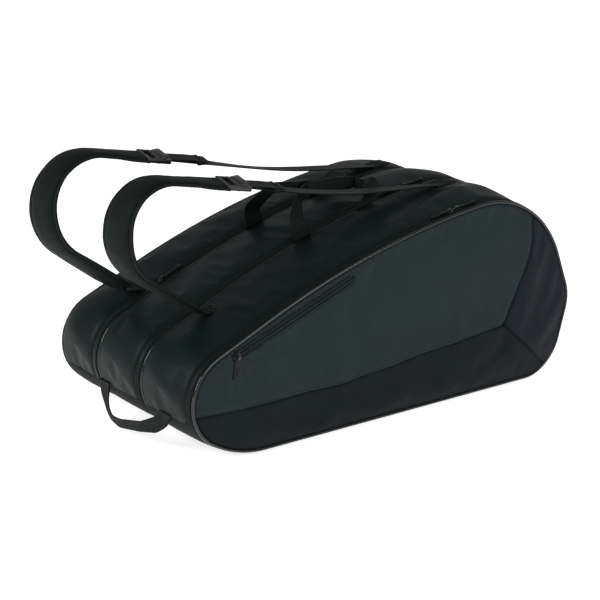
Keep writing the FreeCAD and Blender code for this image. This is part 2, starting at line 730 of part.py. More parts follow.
def build_bag():
    add_tub("side_tub", SIDE_SEAM, FRONT_SEAM, False)
    add_tub("middle_tub", FRONT_SEAM, MIDDLE_SEAM, False)
    add_tub("rear_tub", MIDDLE_SEAM, REAR_SEAM, True)
    add_divider("front_divider", FRONT_SEAM)
    add_divider("middle_divider", MIDDLE_SEAM)
    for label, seam in (("front_piping", FRONT_SEAM), ("middle_piping", MIDDLE_SEAM)):
        add_piping(label, seam, True)
        add_panel_tape(label.replace("piping", "seam_tape"), seam)
    add_piping("side_piping", SIDE_SEAM, False)
    add_piping("rear_piping", REAR_SEAM, False)
    add_panel_tape("side_seam_tape", SIDE_SEAM)
    add_rear_panel()
    add_side_foam()
    add_side_skins()
    add_zip_pulls()
    add_pocket_pull()
    add_strap("rear_strap")
    add_strap("front_strap")
    add_carry_handle("rear_carry_handle", MIDDLE_SEAM, 1)
    front = add_carry_handle("front_carry_handle", FRONT_SEAM, -1)
    add_grip(front)
    add_grab_handle()


def check_document():
    for item in doc.Objects:
        for state in item.State:
            if state in ("Invalid", "Error"):
                raise RuntimeError(f"{item.Label} is {state}")
    for item in sub_parts:
        if item.Shape.isNull() or not item.Shape.isValid():
            raise RuntimeError(f"{item.Label} has a bad shape")


build_bag()
doc.recompute()
check_document()
os.makedirs("parts", exist_ok=True)
for item in sub_parts:
    item.Shape.exportStep(f"parts/{item.Label}.step")
    box = item.Shape.BoundBox
    print(f"{item.Label:24s} {item.Shape.Volume / 1000:9.2f} cm3 "
          f"x {box.XMin:7.1f} {box.XMax:7.1f} y {box.YMin:7.1f} {box.YMax:7.1f} "
          f"z {box.ZMin:6.1f} {box.ZMax:6.1f}")
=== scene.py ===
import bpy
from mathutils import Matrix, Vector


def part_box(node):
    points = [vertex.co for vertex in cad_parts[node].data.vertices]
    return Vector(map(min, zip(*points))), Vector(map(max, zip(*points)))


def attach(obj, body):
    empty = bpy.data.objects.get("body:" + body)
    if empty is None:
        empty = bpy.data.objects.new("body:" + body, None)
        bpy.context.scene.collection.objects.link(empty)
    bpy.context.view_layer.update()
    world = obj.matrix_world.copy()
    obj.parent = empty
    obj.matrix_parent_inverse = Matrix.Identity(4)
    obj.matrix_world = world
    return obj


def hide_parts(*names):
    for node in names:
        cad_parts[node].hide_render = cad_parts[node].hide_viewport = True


bl_info = {
    "name": "Racket tournament bag",
    "version": (1, 0, 0),
    "blender": (4, 5, 0),
    "location": "View3D > Sidebar > Racket bag",
    "description": "Cloth, straps and zips of a three-tub racket bag, built round its CAD frame",
    "category": "Object",
}

import math

import bpy
import numpy as np
from bpy.props import FloatProperty, IntProperty, PointerProperty, StringProperty
from mathutils import Matrix, Vector, noise
from mathutils.geometry import delaunay_2d_cdt

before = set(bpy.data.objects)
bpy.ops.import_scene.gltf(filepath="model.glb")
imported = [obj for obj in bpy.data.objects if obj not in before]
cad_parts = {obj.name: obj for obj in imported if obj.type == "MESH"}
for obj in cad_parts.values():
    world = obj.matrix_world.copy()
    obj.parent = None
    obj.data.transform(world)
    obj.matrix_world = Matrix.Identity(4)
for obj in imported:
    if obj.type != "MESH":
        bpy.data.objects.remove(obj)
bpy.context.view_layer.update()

# Metres, in the CAD's frame: +X to the racket heads, -Y to the pocket side, +Z up.
Y_AXIS = np.array((0.0, 1.0, 0.0))
TUBS = ("side_tub", "middle_tub", "rear_tub")

# The profile's corners as x, z and radius, from the tail's foot up and over to the head's foot.
PROFILE = ((-0.300, 0.0, 0.178), (-0.462, 0.102, 0.074), (-0.064, 0.281, 1.470),
           (0.294, 0.332, 0.183), (0.383, 0.131, 0.069), (0.350, 0.0, 0.078))
PROFILE_POINTS = 1400
BASE_MIDDLE_X = 0.02
BASE_SEAM_Z = 0.062

# Each piping's place across the bag, and its outline's height as a multiple of the side panel's.
SEAM_Y = (-0.1755, -0.053, 0.068, 0.1755)
SEAM_RISE = (1.0, 1.037, 1.014, 1.0)
PIPING_RADIUS = 0.0025
PIPING_ROWS = 700

# Width of one half of a long zip, half the gap between its halves, and the zips' middles.
TAPE_WIDTH = 0.00735
HALF_GAP = 0.00015
ZIP_Y = [y + PIPING_RADIUS + TAPE_WIDTH + HALF_GAP for y in SEAM_Y[:3]]
REAR_ZIP_START_X = -0.27

# The side panel's seams as x, z and radius, its pocket's slanting zip, and its two faces.
LOWER_SEAM = ((-0.462, 0.076, 0.0), (-0.110, 0.076, 0.6), (0.226, 0.108, 0.0))
HEAD_SEAM = ((0.226, 0.108, 0.0), (0.284, 0.222, 0.12), (0.274, 0.332, 0.0))
FOOT_SEAM = ((0.226, 0.108, 0.0), (0.345, 0.006, 0.0))
POCKET_ZIP_START = np.array((-0.311, 0.152))
POCKET_ZIP_ANGLE = math.radians(21)
POCKET_ZIP_LENGTH = 0.234
POCKET_TAPE_WIDTH = 0.011
PANEL_Y = -0.1768
FOAM_BACK_Y = -0.1716

# Each strap's place across the bag, the tub that its ends are sewn to, how far its pad turns
# towards the side panel in degrees at TURN_SHARES of its length, its pad's course as x, z and
# radius, and the bend in its webbing. The ladder lock is turned by LOCK_TURN.
TURN_SHARES = (0.0, 0.2, 0.45, 0.62, 0.86, 1.0)
LOCK_TURN = 13.0
STRAPS = {
    "rear_strap": {"y": 0.095, "body": "rear_tub", "turn": (15, 14, 8, -1, 0, 13),
                   "pad": ((-0.322, 0.190, 0.0), (-0.459, 0.286, 0.088),
                           (-0.449, 0.419, 0.074), (-0.281, 0.389, 0.0)),
                   "bend": (-0.030, 0.340, 1.5)},
    "front_strap": {"y": -0.079, "body": "side_tub", "turn": (4, 5, 7, 0, 0, 13),
                    "pad": ((-0.306, 0.195, 0.0), (-0.442, 0.283, 0.080),
                            (-0.433, 0.409, 0.066), (-0.260, 0.379, 0.0)),
                    "bend": (-0.070, 0.340, 1.5)},
}


# ---------------------------------------------------------------- sizes and colours to change

class BagSizes(bpy.types.PropertyGroup):
    """Sizes of the soft pieces."""
    pillow: FloatProperty(name="Gusset pillow", default=0.005, unit="LENGTH",
                          description="How far a gusset's cloth stands up between its seams")
    growth: FloatProperty(name="Slack", default=0.003, subtype="FACTOR",
                          description="Spare cloth in the gussets, as a share of their size")
    base_sag: FloatProperty(name="Base sag", default=0.0045, unit="LENGTH",
                            description="How far the base cloth sags between its seams")
    panel_dome: FloatProperty(name="Panel dome", default=0.007, unit="LENGTH",
                              description="How far the side panel stands out at its middle")
    cloth: FloatProperty(name="Cloth", default=0.0018, unit="LENGTH",
                         description="Thickness of the padded cloth")
    pad_width: FloatProperty(name="Pad width", default=0.064, unit="LENGTH",
                             description="Width of a shoulder strap's pad")
    pad_thickness: FloatProperty(name="Pad thickness", default=0.0095, unit="LENGTH",
                                 description="Thickness of a shoulder strap's pad at its middle")
    webbing_width: FloatProperty(name="Webbing width", default=0.025, unit="LENGTH",
                                 description="Width of the adjusting webbing")
    webbing_thickness: FloatProperty(name="Webbing thickness", default=0.002, unit="LENGTH",
                                     description="Thickness of the webbing")
    frames: IntProperty(name="Cloth frames", default=20, min=2, max=60,
                        description="Frames that the cloth settles for")


class BagColours(bpy.types.PropertyGroup):
    """Colours of the finishes, as sRGB hex."""
    gusset: StringProperty(name="Coated cloth", default="0c1616",
                           description="Gussets: polyester with a soft coating")
    panel: StringProperty(name="Panel cloth", default="182224",
                          description="Pocket panel: ribbed coated polyester")
    lower: StringProperty(name="Lower cloth", default="0f1517",
                          description="Lower panel: plain coated polyester")
    head: StringProperty(name="Head cloth", default="0d1218",
                         description="Head end of the panel: plain polyester")
    base: StringProperty(name="Base cloth", default="0a1010",
                         description="Base: heavy woven polyester")
    webbing: StringProperty(name="Webbing", default="0b1110",
                            description="Woven polypropylene webbing")
    pad: StringProperty(name="Pad cloth", default="0c1312",
                        description="Woven cloth of the pads")
    vinyl: StringProperty(name="Piping", default="0d1211",
                          description="Vinyl of the piping")
    plastic: StringProperty(name="Acetal", default="0b0d0e",
                            description="Moulded ladder locks and pullers")
    lining: StringProperty(name="Lining", default="181c1c",
                           description="Nylon lining of the dividers")
    floor: StringProperty(name="Floor", default="f4f4f2",
                          description="Pale studio floor")


def sizes():
    """The sizes that a user can change."""
    return bpy.context.scene.bag_sizes


def linear(code):
    """An sRGB hex value as linear red, green, blue and alpha."""
    parts = [int(code[i:i + 2], 16) / 255 for i in (0, 2, 4)]
    return [c / 12.92 if c <= 0.04045 else ((c + 0.055) / 1.055) ** 2.4 for c in parts] + [1.0]


# ---------------------------------------------------------------- curves as arrays of points

def unit(vectors):
    """The same directions, each of length one."""
    vectors = np.asarray(vectors, float)
    length = np.linalg.norm(vectors, axis=-1, keepdims=True)
    return vectors / np.maximum(length, 1e-12)


def rounded(corners, step=0.003):
    """Points (x, z) along a polyline of x, z and radius, whose corners are arcs."""
    places = [np.array(corner[:2], float) for corner in corners]
    path = [places[0]]
    for i in range(1, len(places) - 1):
        back, ahead = unit(places[i - 1] - places[i]), unit(places[i + 1] - places[i])
        half = math.acos(np.clip(back @ ahead, -1, 1)) / 2
        radius, turn = corners[i][2], math.pi - 2 * half
        centre = places[i] + unit(back + ahead) * (radius / math.sin(half))
        start = places[i] + back * (radius / math.tan(half)) - centre
        stop = places[i] + ahead * (radius / math.tan(half)) - centre
        for share in np.linspace(0, 1, max(3, int(radius * turn / step))):
            spread = math.sin((1 - share) * turn) * start + math.sin(share * turn) * stop
            path.append(centre + spread / math.sin(turn))
    path.append(places[-1])
    return np.array(path)


def lengths(path):
    """Distance along a path of points to each point."""
    return np.concatenate(([0.0], np.cumsum(np.linalg.norm(np.diff(path, axis=0), axis=1))))


def read_along(path, values, count):
    """Values given at a path's points, read at evenly spaced places along it."""
    along = lengths(path)
    even = np.linspace(0, along[-1], count)
    return np.stack([np.interp(even, along, column) for column in np.asarray(values).T], axis=1)


def resample(path, count):
    """The path as evenly spaced points."""
    path = np.asarray(path, float)
    return read_along(path, path, count)


def closed_path(outline):
    """An outline with its first point again at the end."""
    return np.concatenate((outline, outline[:1]))


def outward(path):
    """Unit vectors to the left of an (x, z) path, which point out of the bag."""
    tangent = unit(np.gradient(path, axis=0))
    return np.stack([-tangent[:, 1], tangent[:, 0]], axis=1)


def profile(rise, inset=0.0):
    """The bag's outline from the middle of the base round by the tail, at one seam."""
    middle = [(BASE_MIDDLE_X, 0.0, 0.0)]
    corners = middle + [(x, z * rise, radius) for x, z, radius in PROFILE] + middle
    path = resample(rounded(corners), PROFILE_POINTS)
    return path - outward(path) * inset


def above_base(path):
    """The part of an outline above the base seam, from tail to head."""
    high = np.nonzero(path[:, 1] > BASE_SEAM_Z)[0]
    return path[high[0] - 1:high[-1] + 2]


def below_base(path):
    """The part of an outline below the base seam, from head to tail."""
    high = np.nonzero(path[:, 1] > BASE_SEAM_Z)[0]
    return np.concatenate((path[high[-1]:], path[1:high[0] + 1]))


def in_space(flat, y=0.0):
    """Flat (x, z) points or directions as ones in space, at y."""
    return np.stack([flat[..., 0], np.broadcast_to(y, flat.shape[:-1]), flat[..., 1]], axis=-1)


def ripple(points, pitch, seed, octaves=2):
    """Smooth noise from -1 to 1 at each point."""
    offset = Vector((seed * 7.31, seed * 3.17, seed * 1.93))
    return np.array([noise.fractal(Vector(p) / pitch + offset, 1.0, 2.0, octaves) for p in points])


def smooth_step(values, low, high):
    """0 up to low, 1 from high on, and a smooth ramp between."""
    share = np.clip((np.asarray(values, float) - low) / (high - low), 0, 1)
    return share * share * (3 - 2 * share)


def distance_to(points, path):
    """Least distance from each flat point to a path's points, some of the path at a time."""
    best = np.full(len(points), np.inf)
    at_a_time = 200
    for start in range(0, len(path), at_a_time):
        part = path[start:start + at_a_time]
        gaps = np.linalg.norm(points[:, None] - part[None], axis=2)
        best = np.minimum(best, gaps.min(axis=1))
    return best


# ---------------------------------------------------------------- meshes

def piece(name, points, faces, finish, body, uv=None, smooth=True):
    """A named mesh in the row frame that moves with a CAD body."""
    mesh = bpy.data.meshes.new(name)
    mesh.from_pydata([tuple(p) for p in points], [], [tuple(f) for f in faces])
    if uv is not None:
        layer = mesh.uv_layers.new(name="cloth")
        index = np.empty(len(mesh.loops), int)
        mesh.loops.foreach_get("vertex_index", index)
        layer.data.foreach_set("uv", np.asarray(uv, float)[index].ravel())
    mesh.polygons.foreach_set("use_smooth", [smooth] * len(mesh.polygons))
    mesh.materials.append(finish)
    mesh.validate()
    mesh.update()
    made = bpy.data.objects.new(name, mesh)
    bpy.context.scene.collection.objects.link(made)
    if body:
        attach(made, body)
    return made


def grid_faces(rows, columns):
    """Quads of a grid of points, row by row."""
    index = np.arange(rows * columns).reshape(rows, columns)
    quads = np.stack([index[:-1, :-1], index[:-1, 1:], index[1:, 1:], index[1:, :-1]], axis=-1)
    return [tuple(q) for q in quads.reshape(-1, 4).tolist()]


def closed_faces(faces, count):
    """The same faces on a second layer of points, turned over, with a rim between the layers."""
    edges = {(a, b) for face in faces for a, b in zip(face, face[1:] + face[:1])}
    rim = [(b, a, a + count, b + count) for a, b in sorted(edges) if (b, a) not in edges]
    return faces + [tuple(i + count for i in reversed(face)) for face in faces] + rim


def vertex_normals(points, faces):
    """Mean unit normal of the faces at each point."""
    normals = np.zeros_like(points)
    for face in faces:
        corner = points[list(face)]
        normal = np.cross(corner[1] - corner[0], corner[-1] - corner[0])
        normals[list(face)] += normal
    return unit(normals)


def shell(name, points, faces, thickness, finish, body, uv):
    """Cloth of even thickness whose outer face is the given points."""
    inner = points - vertex_normals(points, faces) * thickness
    both = np.concatenate((points, inner))
    return piece(name, both, closed_faces(faces, len(points)), finish, body,
                 uv=np.concatenate((uv, uv)))


def tube(name, rings, finish, body, uv=None, capped=True):
    """A closed skin over rings of points. uv is one pair of coordinates for each point."""
    rings = np.asarray(rings, float)
    count, around = rings.shape[:2]
    faces = []
    for i in range(count - 1 if capped else count):
        this, following = i * around, ((i + 1) % count) * around
        for j in range(around):
            k = (j + 1) % around
            faces.append((this + k, this + j, following + j, following + k))
    if capped:
        faces.append(tuple(range(around)))
        faces.append(tuple((count - 1) * around + j for j in reversed(range(around))))
    flat_uv = None if uv is None else np.asarray(uv, float).reshape(-1, 2)
    return piece(name, rings.reshape(-1, 3), faces, finish, body, uv=flat_uv)


def round_rings(centre, side, up, across, high, count):
    """Rings of points round a course. across and high are half sizes along side and up."""
    angles = np.linspace(0, 2 * math.pi, count, endpoint=False)
    rings = [centre + side * (across * math.cos(a)) + up * (high * math.sin(a)) for a in angles]
    return np.stack(rings, axis=1)


def coordinates(mesh):
    """A mesh's points as an array."""
    flat = np.empty(len(mesh.vertices) * 3)
    mesh.vertices.foreach_get("co", flat)
    return flat.reshape(-1, 3)


FURTHEST_SETTLING = 0.003


def creased(made, held, growth, gravity, bending):
    """Where a cloth solver leaves a mesh that has spare cloth and is sewn at its held points."""
    group = made.vertex_groups.new(name="sewn")
    group.add([int(i) for i in held], 1.0, "REPLACE")
    cloth = made.modifiers.new("creases", "CLOTH")
    cloth.settings.vertex_group_mass = "sewn"
    cloth.settings.quality = 6
    cloth.settings.mass = 0.15
    cloth.settings.tension_stiffness = 25
    cloth.settings.compression_stiffness = 25
    cloth.settings.shear_stiffness = 12
    cloth.settings.bending_stiffness = bending
    cloth.settings.shrink_min = -growth
    cloth.settings.effector_weights.gravity = gravity
    cloth.collision_settings.use_collision = False
    cloth.point_cache.frame_start = 1
    cloth.point_cache.frame_end = sizes().frames
    scene = bpy.context.scene
    for step in range(1, sizes().frames + 1):
        scene.frame_set(step)
    shape = made.evaluated_get(bpy.context.evaluated_depsgraph_get())
    result = coordinates(shape.data)
    scene.frame_set(1)
    return result


def settled(points, faces, held, growth, gravity, bending):
    """Points of cloth after it has settled, none of them further than FURTHEST_SETTLING."""
    made = piece("settling", points, faces, None, None)
    rest = coordinates(made.data)
    moved = np.zeros_like(rest)
    moved = creased(made, held, growth, gravity, bending) - rest
    mesh = made.data
    bpy.data.objects.remove(made)
    bpy.data.meshes.remove(mesh)
    reach = np.linalg.norm(moved, axis=1, keepdims=True)
    return rest + moved * np.minimum(1.0, FURTHEST_SETTLING / np.maximum(reach, 1e-9))


def refined(points):
    """A grid of points with one more between each pair, both ways, on a smooth surface."""
    for axis in (0, 1):
        points = np.moveaxis(points, axis, 0)
        padded = np.concatenate((points[:1] * 2 - points[1:2], points,
                                 points[-1:] * 2 - points[-2:-1]))
        middle = (9 * (points[:-1] + points[1:]) - (padded[:-3] + padded[3:])) / 16
        out = np.empty((len(points) * 2 - 1,) + points.shape[1:])
        out[::2], out[1::2] = points, middle
        points = np.moveaxis(out, 0, axis)
    return points


# ---------------------------------------------------------------- finishes

def node(tree, kind, settings=(), values=(), links=()):
    """Adds a shader node with its settings, socket values and links."""
    made = tree.nodes.new(kind)
    for name, value in dict(settings).items():
        setattr(made, name, value)
    for socket, value in dict(values).items():
        made.inputs[socket].default_value = value
    for socket, source in dict(links).items():
        tree.links.new(source, made.inputs[socket])
    return made


def bands_scale(period):
    """Scale of a wave texture whose bands repeat every period metres."""
    return math.pi / (10 * period)


def finish_tree(name):
    """A new material and its empty node tree."""
    made = bpy.data.materials.new(name)
    made.use_nodes = True
    made.node_tree.nodes.clear()
    return made, made.node_tree


def shade(tree, values, links):
    """Ends a tree with its surface shader and output."""
    shader = node(tree, "ShaderNodeBsdfPrincipled", values=values, links=links)
    node(tree, "ShaderNodeOutputMaterial", links={"Surface": shader.outputs["BSDF"]})


def woven(name, code, thread_mm, rough, rib=0.0, depth=0.5, sheen=0.0, spread=0.25, gloss=0.15):
    """Woven cloth, its threads thread_mm apart. rib is how far its ribs outweigh the weft."""
    made, tree = finish_tree(name)
    place = node(tree, "ShaderNodeUVMap", {"uv_map": "cloth"})
    period = thread_mm / 1000
    warp = node(tree, "ShaderNodeTexWave", {"bands_direction": "X"},
                {"Scale": bands_scale(period), "Distortion": 0.4, "Detail": 1.0},
                {"Vector": place.outputs[0]})
    weft = node(tree, "ShaderNodeTexWave", {"bands_direction": "Y"},
                {"Scale": bands_scale(period), "Distortion": 0.4, "Detail": 1.0},
                {"Vector": place.outputs[0]})
    threads = node(tree, "ShaderNodeMix", {"data_type": "FLOAT"}, {0: 0.5 + rib / 2},
                   {2: warp.outputs["Fac"], 3: weft.outputs["Fac"]})
    # Handling leaves soft patches a hand's breadth across, duller and brighter.
    patches = node(tree, "ShaderNodeTexNoise", {"noise_dimensions": "3D"},
                   {"Scale": 22.0, "Detail": 3.0, "Roughness": 0.55},
                   {"Vector": node(tree, "ShaderNodeTexCoord").outputs["Object"]})
    tone = node(tree, "ShaderNodeMapRange", values={"To Min": 1 - spread, "To Max": 1 + spread},
                links={"Value": patches.outputs["Fac"]})
    weave = node(tree, "ShaderNodeMapRange", values={"To Min": 0.78, "To Max": 1.18},
                 links={"Value": threads.outputs[0]})
    both = node(tree, "ShaderNodeMath", {"operation": "MULTIPLY"},
                links={0: tone.outputs[0], 1: weave.outputs[0]})
    colour = node(tree, "ShaderNodeVectorMath", {"operation": "SCALE"},
                  {0: linear(code)[:3]}, {"Scale": both.outputs[0]})
    dull = node(tree, "ShaderNodeMapRange", values={"To Min": rough + 0.06, "To Max": rough - 0.06},
                links={"Value": patches.outputs["Fac"]})
    bump = node(tree, "ShaderNodeBump", values={"Strength": depth, "Distance": period * 0.16},
                links={"Height": threads.outputs[0]})
    shade(tree, {"IOR": 1.5, "Specular IOR Level": gloss, "Sheen Weight": sheen,
                 "Sheen Roughness": 0.45, "Sheen Tint": (0.75, 0.85, 0.82, 1.0)},
          {"Base Color": colour.outputs[0], "Roughness": dull.outputs[0],
           "Normal": bump.outputs[0]})
    return made


def webbing_finish(name, code, rough=0.5):
    """Polypropylene webbing: slanted picks across and a rounded cord every few millimetres."""
    made, tree = finish_tree(name)
    place = node(tree, "ShaderNodeUVMap", {"uv_map": "cloth"})
    # Picks are about 1.2 mm apart; they are drawn at 2.4 mm so that they show.
    slant = node(tree, "ShaderNodeMapping", values={"Rotation": (0, 0, math.radians(32))},
                 links={"Vector": place.outputs[0]})
    picks = node(tree, "ShaderNodeTexWave", {"bands_direction": "X"},
                 {"Scale": bands_scale(0.0024)}, {"Vector": slant.outputs[0]})
    cords = node(tree, "ShaderNodeTexWave", {"bands_direction": "Y"},
                 {"Scale": bands_scale(0.0062)}, {"Vector": place.outputs[0]})
    height = node(tree, "ShaderNodeMath", {"operation": "MULTIPLY"},
                  links={0: picks.outputs["Fac"], 1: cords.outputs["Fac"]})
    tone = node(tree, "ShaderNodeMapRange", values={"To Min": 0.7, "To Max": 1.5},
                links={"Value": height.outputs[0]})
    colour = node(tree, "ShaderNodeVectorMath", {"operation": "SCALE"},
                  {0: linear(code)[:3]}, {"Scale": tone.outputs[0]})
    bump = node(tree, "ShaderNodeBump", values={"Strength": 0.7, "Distance": 0.0005},
                links={"Height": height.outputs[0]})
    shade(tree, {"IOR": 1.49, "Roughness": rough, "Specular IOR Level": 0.1},
          {"Base Color": colour.outputs[0], "Normal": bump.outputs[0]})
    return made


def moulded(name, code, rough, grain_mm, coat=0.0, depth=0.15, gloss=0.4):
    """Moulded or painted surface with a fine grain and rubbed, paler high spots."""
    made, tree = finish_tree(name)
    place = node(tree, "ShaderNodeTexCoord")
    grain = node(tree, "ShaderNodeTexNoise", values={"Scale": 1000 / grain_mm, "Detail": 2.0},
                 links={"Vector": place.outputs["Object"]})
    rub = node(tree, "ShaderNodeTexNoise", values={"Scale": 60.0, "Detail": 3.0},
               links={"Vector": place.outputs["Object"]})
    tone = node(tree, "ShaderNodeMapRange", values={"To Min": 0.8, "To Max": 1.3},
                links={"Value": rub.outputs["Fac"]})
    colour = node(tree, "ShaderNodeVectorMath", {"operation": "SCALE"},
                  {0: linear(code)[:3]}, {"Scale": tone.outputs[0]})
    dull = node(tree, "ShaderNodeMapRange", values={"To Min": rough - 0.05, "To Max": rough + 0.08},
                links={"Value": rub.outputs["Fac"]})
    bump = node(tree, "ShaderNodeBump", values={"Strength": depth, "Distance": 0.0002},
                links={"Height": grain.outputs["Fac"]})
    shade(tree, {"IOR": 1.48, "Specular IOR Level": gloss, "Coat Weight": coat,
                 "Coat Roughness": 0.07},
          {"Base Color": colour.outputs[0], "Roughness": dull.outputs[0],
           "Normal": bump.outputs[0]})
    return made


# What makes each finish, its colour's name in BagColours, and its settings.
FINISHES = {
    # A thin coating hides the threads and gives broad soft highlights.
    "pu_coated_polyester": (woven, "gusset", {"thread_mm": 1.6, "rough": 0.46, "depth": 0.12,
                                              "spread": 0.2, "gloss": 0.09}),
    # Fine ribs 0.9 mm apart, drawn at 2.6 mm, give the panel a satin grain.
    "ribbed_coated_polyester": (woven, "panel", {"thread_mm": 2.6, "rough": 0.50, "rib": 0.7,
                                                 "depth": 0.30, "spread": 0.12, "gloss": 0.08}),
    # Plain weave, threads drawn at 1.8 mm: matt and a little uneven.
    "plain_polyester": (woven, "lower", {"thread_mm": 1.8, "rough": 0.58, "depth": 0.30,
                                         "gloss": 0.06}),
    # Pressed between hot rollers, so smoother, and bluer.
    "calendered_polyester": (woven, "head", {"thread_mm": 1.8, "rough": 0.50, "depth": 0.2,
                                             "gloss": 0.08}),
    # Heavy 1.2 mm threads, drawn at 2.2 mm, dull and hard-wearing.
    "ballistic_polyester": (woven, "base", {"thread_mm": 2.2, "rough": 0.60, "depth": 0.6,
                                            "gloss": 0.05}),
    # Open mesh over foam, holes drawn at 2.4 mm: soft, with no bright line.
    "air_mesh_pad_cloth": (woven, "pad", {"thread_mm": 2.4, "rough": 0.62, "depth": 0.6,
                                          "sheen": 0.01, "gloss": 0.06}),
    # Light woven nylon, threads drawn at 1.5 mm, with a faint shine.
    "nylon_lining": (woven, "lining", {"thread_mm": 1.5, "rough": 0.45, "depth": 0.15}),
    # Herringbone tape, threads drawn at 1.6 mm.
    "zip_tape_weave": (woven, "gusset", {"thread_mm": 1.6, "rough": 0.6, "rib": 0.4,
                                         "depth": 0.4, "gloss": 0.07}),
    # Slick plastic yarn, whose slanted picks catch the light.
    "polypropylene_webbing": (webbing_finish, "webbing", {}),
    # The same weave in polyester, duller.
    "binding_tape": (webbing_finish, "base", {"rough": 0.6}),
    # Plasticised vinyl over cord, with a bright line of reflected light.
    "vinyl_piping": (moulded, "vinyl", {"rough": 0.25, "grain_mm": 2.5, "coat": 0.7,
                                        "gloss": 0.06}),
    # Moulded acetal, smooth and faintly glossy.
    "acetal_moulding": (moulded, "plastic", {"rough": 0.30, "grain_mm": 0.8, "coat": 0.1}),
    # Die-cast zinc under black paint, glossy.
    "painted_zinc": (moulded, "plastic", {"rough": 0.35, "grain_mm": 0.6, "coat": 0.3}),
    # Soft moulded rubber, matt.
    "moulded_rubber": (moulded, "plastic", {"rough": 0.45, "grain_mm": 0.5, "gloss": 0.15}),
    # Bent nylon filament, whose turns each hold a point of light.
    "nylon_coil": (moulded, "vinyl", {"rough": 0.4, "grain_mm": 0.8, "gloss": 0.12}),
    # Extruded polyethylene sheet, waxy.
    "polyethylene_board": (moulded, "lining", {"rough": 0.5, "grain_mm": 1.5}),
    # Bonded thread, with a dull shine.
    "polyester_thread": (moulded, "plastic", {"rough": 0.5, "grain_mm": 0.5, "gloss": 0.15}),
}
MADE_FINISHES = {}


def finish(name):
    """One of the bag's finishes by name, made the first time it is asked for."""
    if name not in MADE_FINISHES:
        maker, colour, settings = FINISHES[name]
        code = getattr(bpy.context.scene.bag_colours, colour)
        MADE_FINISHES[name] = maker(name, code, **settings)
    return MADE_FINISHES[name]


# ---------------------------------------------------------------- stitches

# Shares of a stitch's length, and the thread's width there.
THREAD_SHAPE = ((0.0, 0.3), (0.25, 1.0), (0.75, 1.0), (1.0, 0.3))


def stitches(name, path, normals, body, pitch=0.0042, gauge=0.00055, sink=0.25):
    """A row of thread stitches along points that lie on cloth."""
    total = lengths(path)[-1]
    count = max(2, int(total / pitch))
    spots = resample(path, count * 4 + 1)
    ups = unit(read_along(path, normals, count * 4 + 1))
    points, faces = [], []
    for i in range(count):
        start, stop = spots[i * 4], spots[i * 4 + 3]
        up = ups[i * 4 + 1]
        across = unit(np.cross(stop - start, up)) * gauge
        high = up * gauge
        base = len(points)
        for share, width in THREAD_SHAPE:
            spot = start + (stop - start) * share + up * gauge * (width - 1 + sink)
            points += [spot - across * width, spot + high * width, spot + across * width,
                       spot - high * width]
        for k in range(3):
            for j in range(4):
                a, b = base + 4 * k + j, base + 4 * k + (j + 1) % 4
                faces.append((a, b, b + 4, a + 4))
        faces += [(base + 3, base + 2, base + 1, base), tuple(base + 12 + j for j in range(4))]
    return piece(name, points, faces, finish("polyester_thread"), body)


# ---------------------------------------------------------------- tubs

def band(near, far, near_y, far_y, rows, columns):
    """A ruled grid between two outlines, and the outward direction at each point."""
    near, far = resample(near, rows), resample(far, rows)
    share = np.linspace(0, 1, columns)[None, :, None]
    flat = near[:, None] * (1 - share) + far[:, None] * share
    out = unit(outward(near)[:, None] * (1 - share) + outward(far)[:, None] * share)
    y = np.broadcast_to(near_y + (far_y - near_y) * share[..., 0], flat.shape[:2])
    return in_space(flat, y), in_space(out)


def grid_uv(points):
    """Distances along and across a grid, in metres."""
    middle = points[:, points.shape[1] // 2]
    across = points[points.shape[0] // 2]
    u, v = np.meshgrid(lengths(middle), lengths(across), indexing="ij")
    return np.stack([u, v], axis=-1).reshape(-1, 2)


def border(rows, columns):
    """Indices of a grid's outer points."""
    index = np.arange(rows * columns).reshape(rows, columns)
    return np.unique(np.concatenate((index[0], index[-1], index[:, 0], index[:, -1])))


# Points along and across each cloth, how far its topstitch lies from the seam, and the groove's
# half width and depth there.
GUSSET_GRID = (300, 19)
BASE_GRID = (220, 21)
TOPSTITCH = 0.0035
GROOVE_WIDTH = 0.0016
GROOVE_DEPTH = 0.0011


def gusset_lift(points, seed):
    """How far the gusset's cloth stands out of its seams' surface before it settles."""
    rows, columns = points.shape[:2]
    arch = np.sin(math.pi * np.linspace(0, 1, columns))[None, :]
    along = lengths(points[:, columns // 2])[:, None]
    end_fade, swell_size, swell_height = 0.06, 0.085, 0.0016
    fade = smooth_step(along, 0, end_fade) * smooth_step(along[-1] - along, 0, end_fade)
    spots = points.reshape(-1, 3) * (1.0, 0.6, 1.0)
    soft = ripple(spots, swell_size, seed).reshape(rows, columns)
    pillow = np.clip(arch, 0, 1) ** 0.7 * sizes().pillow * fade
    return pillow * (1 + 0.55 * soft) + swell_height * soft * arch


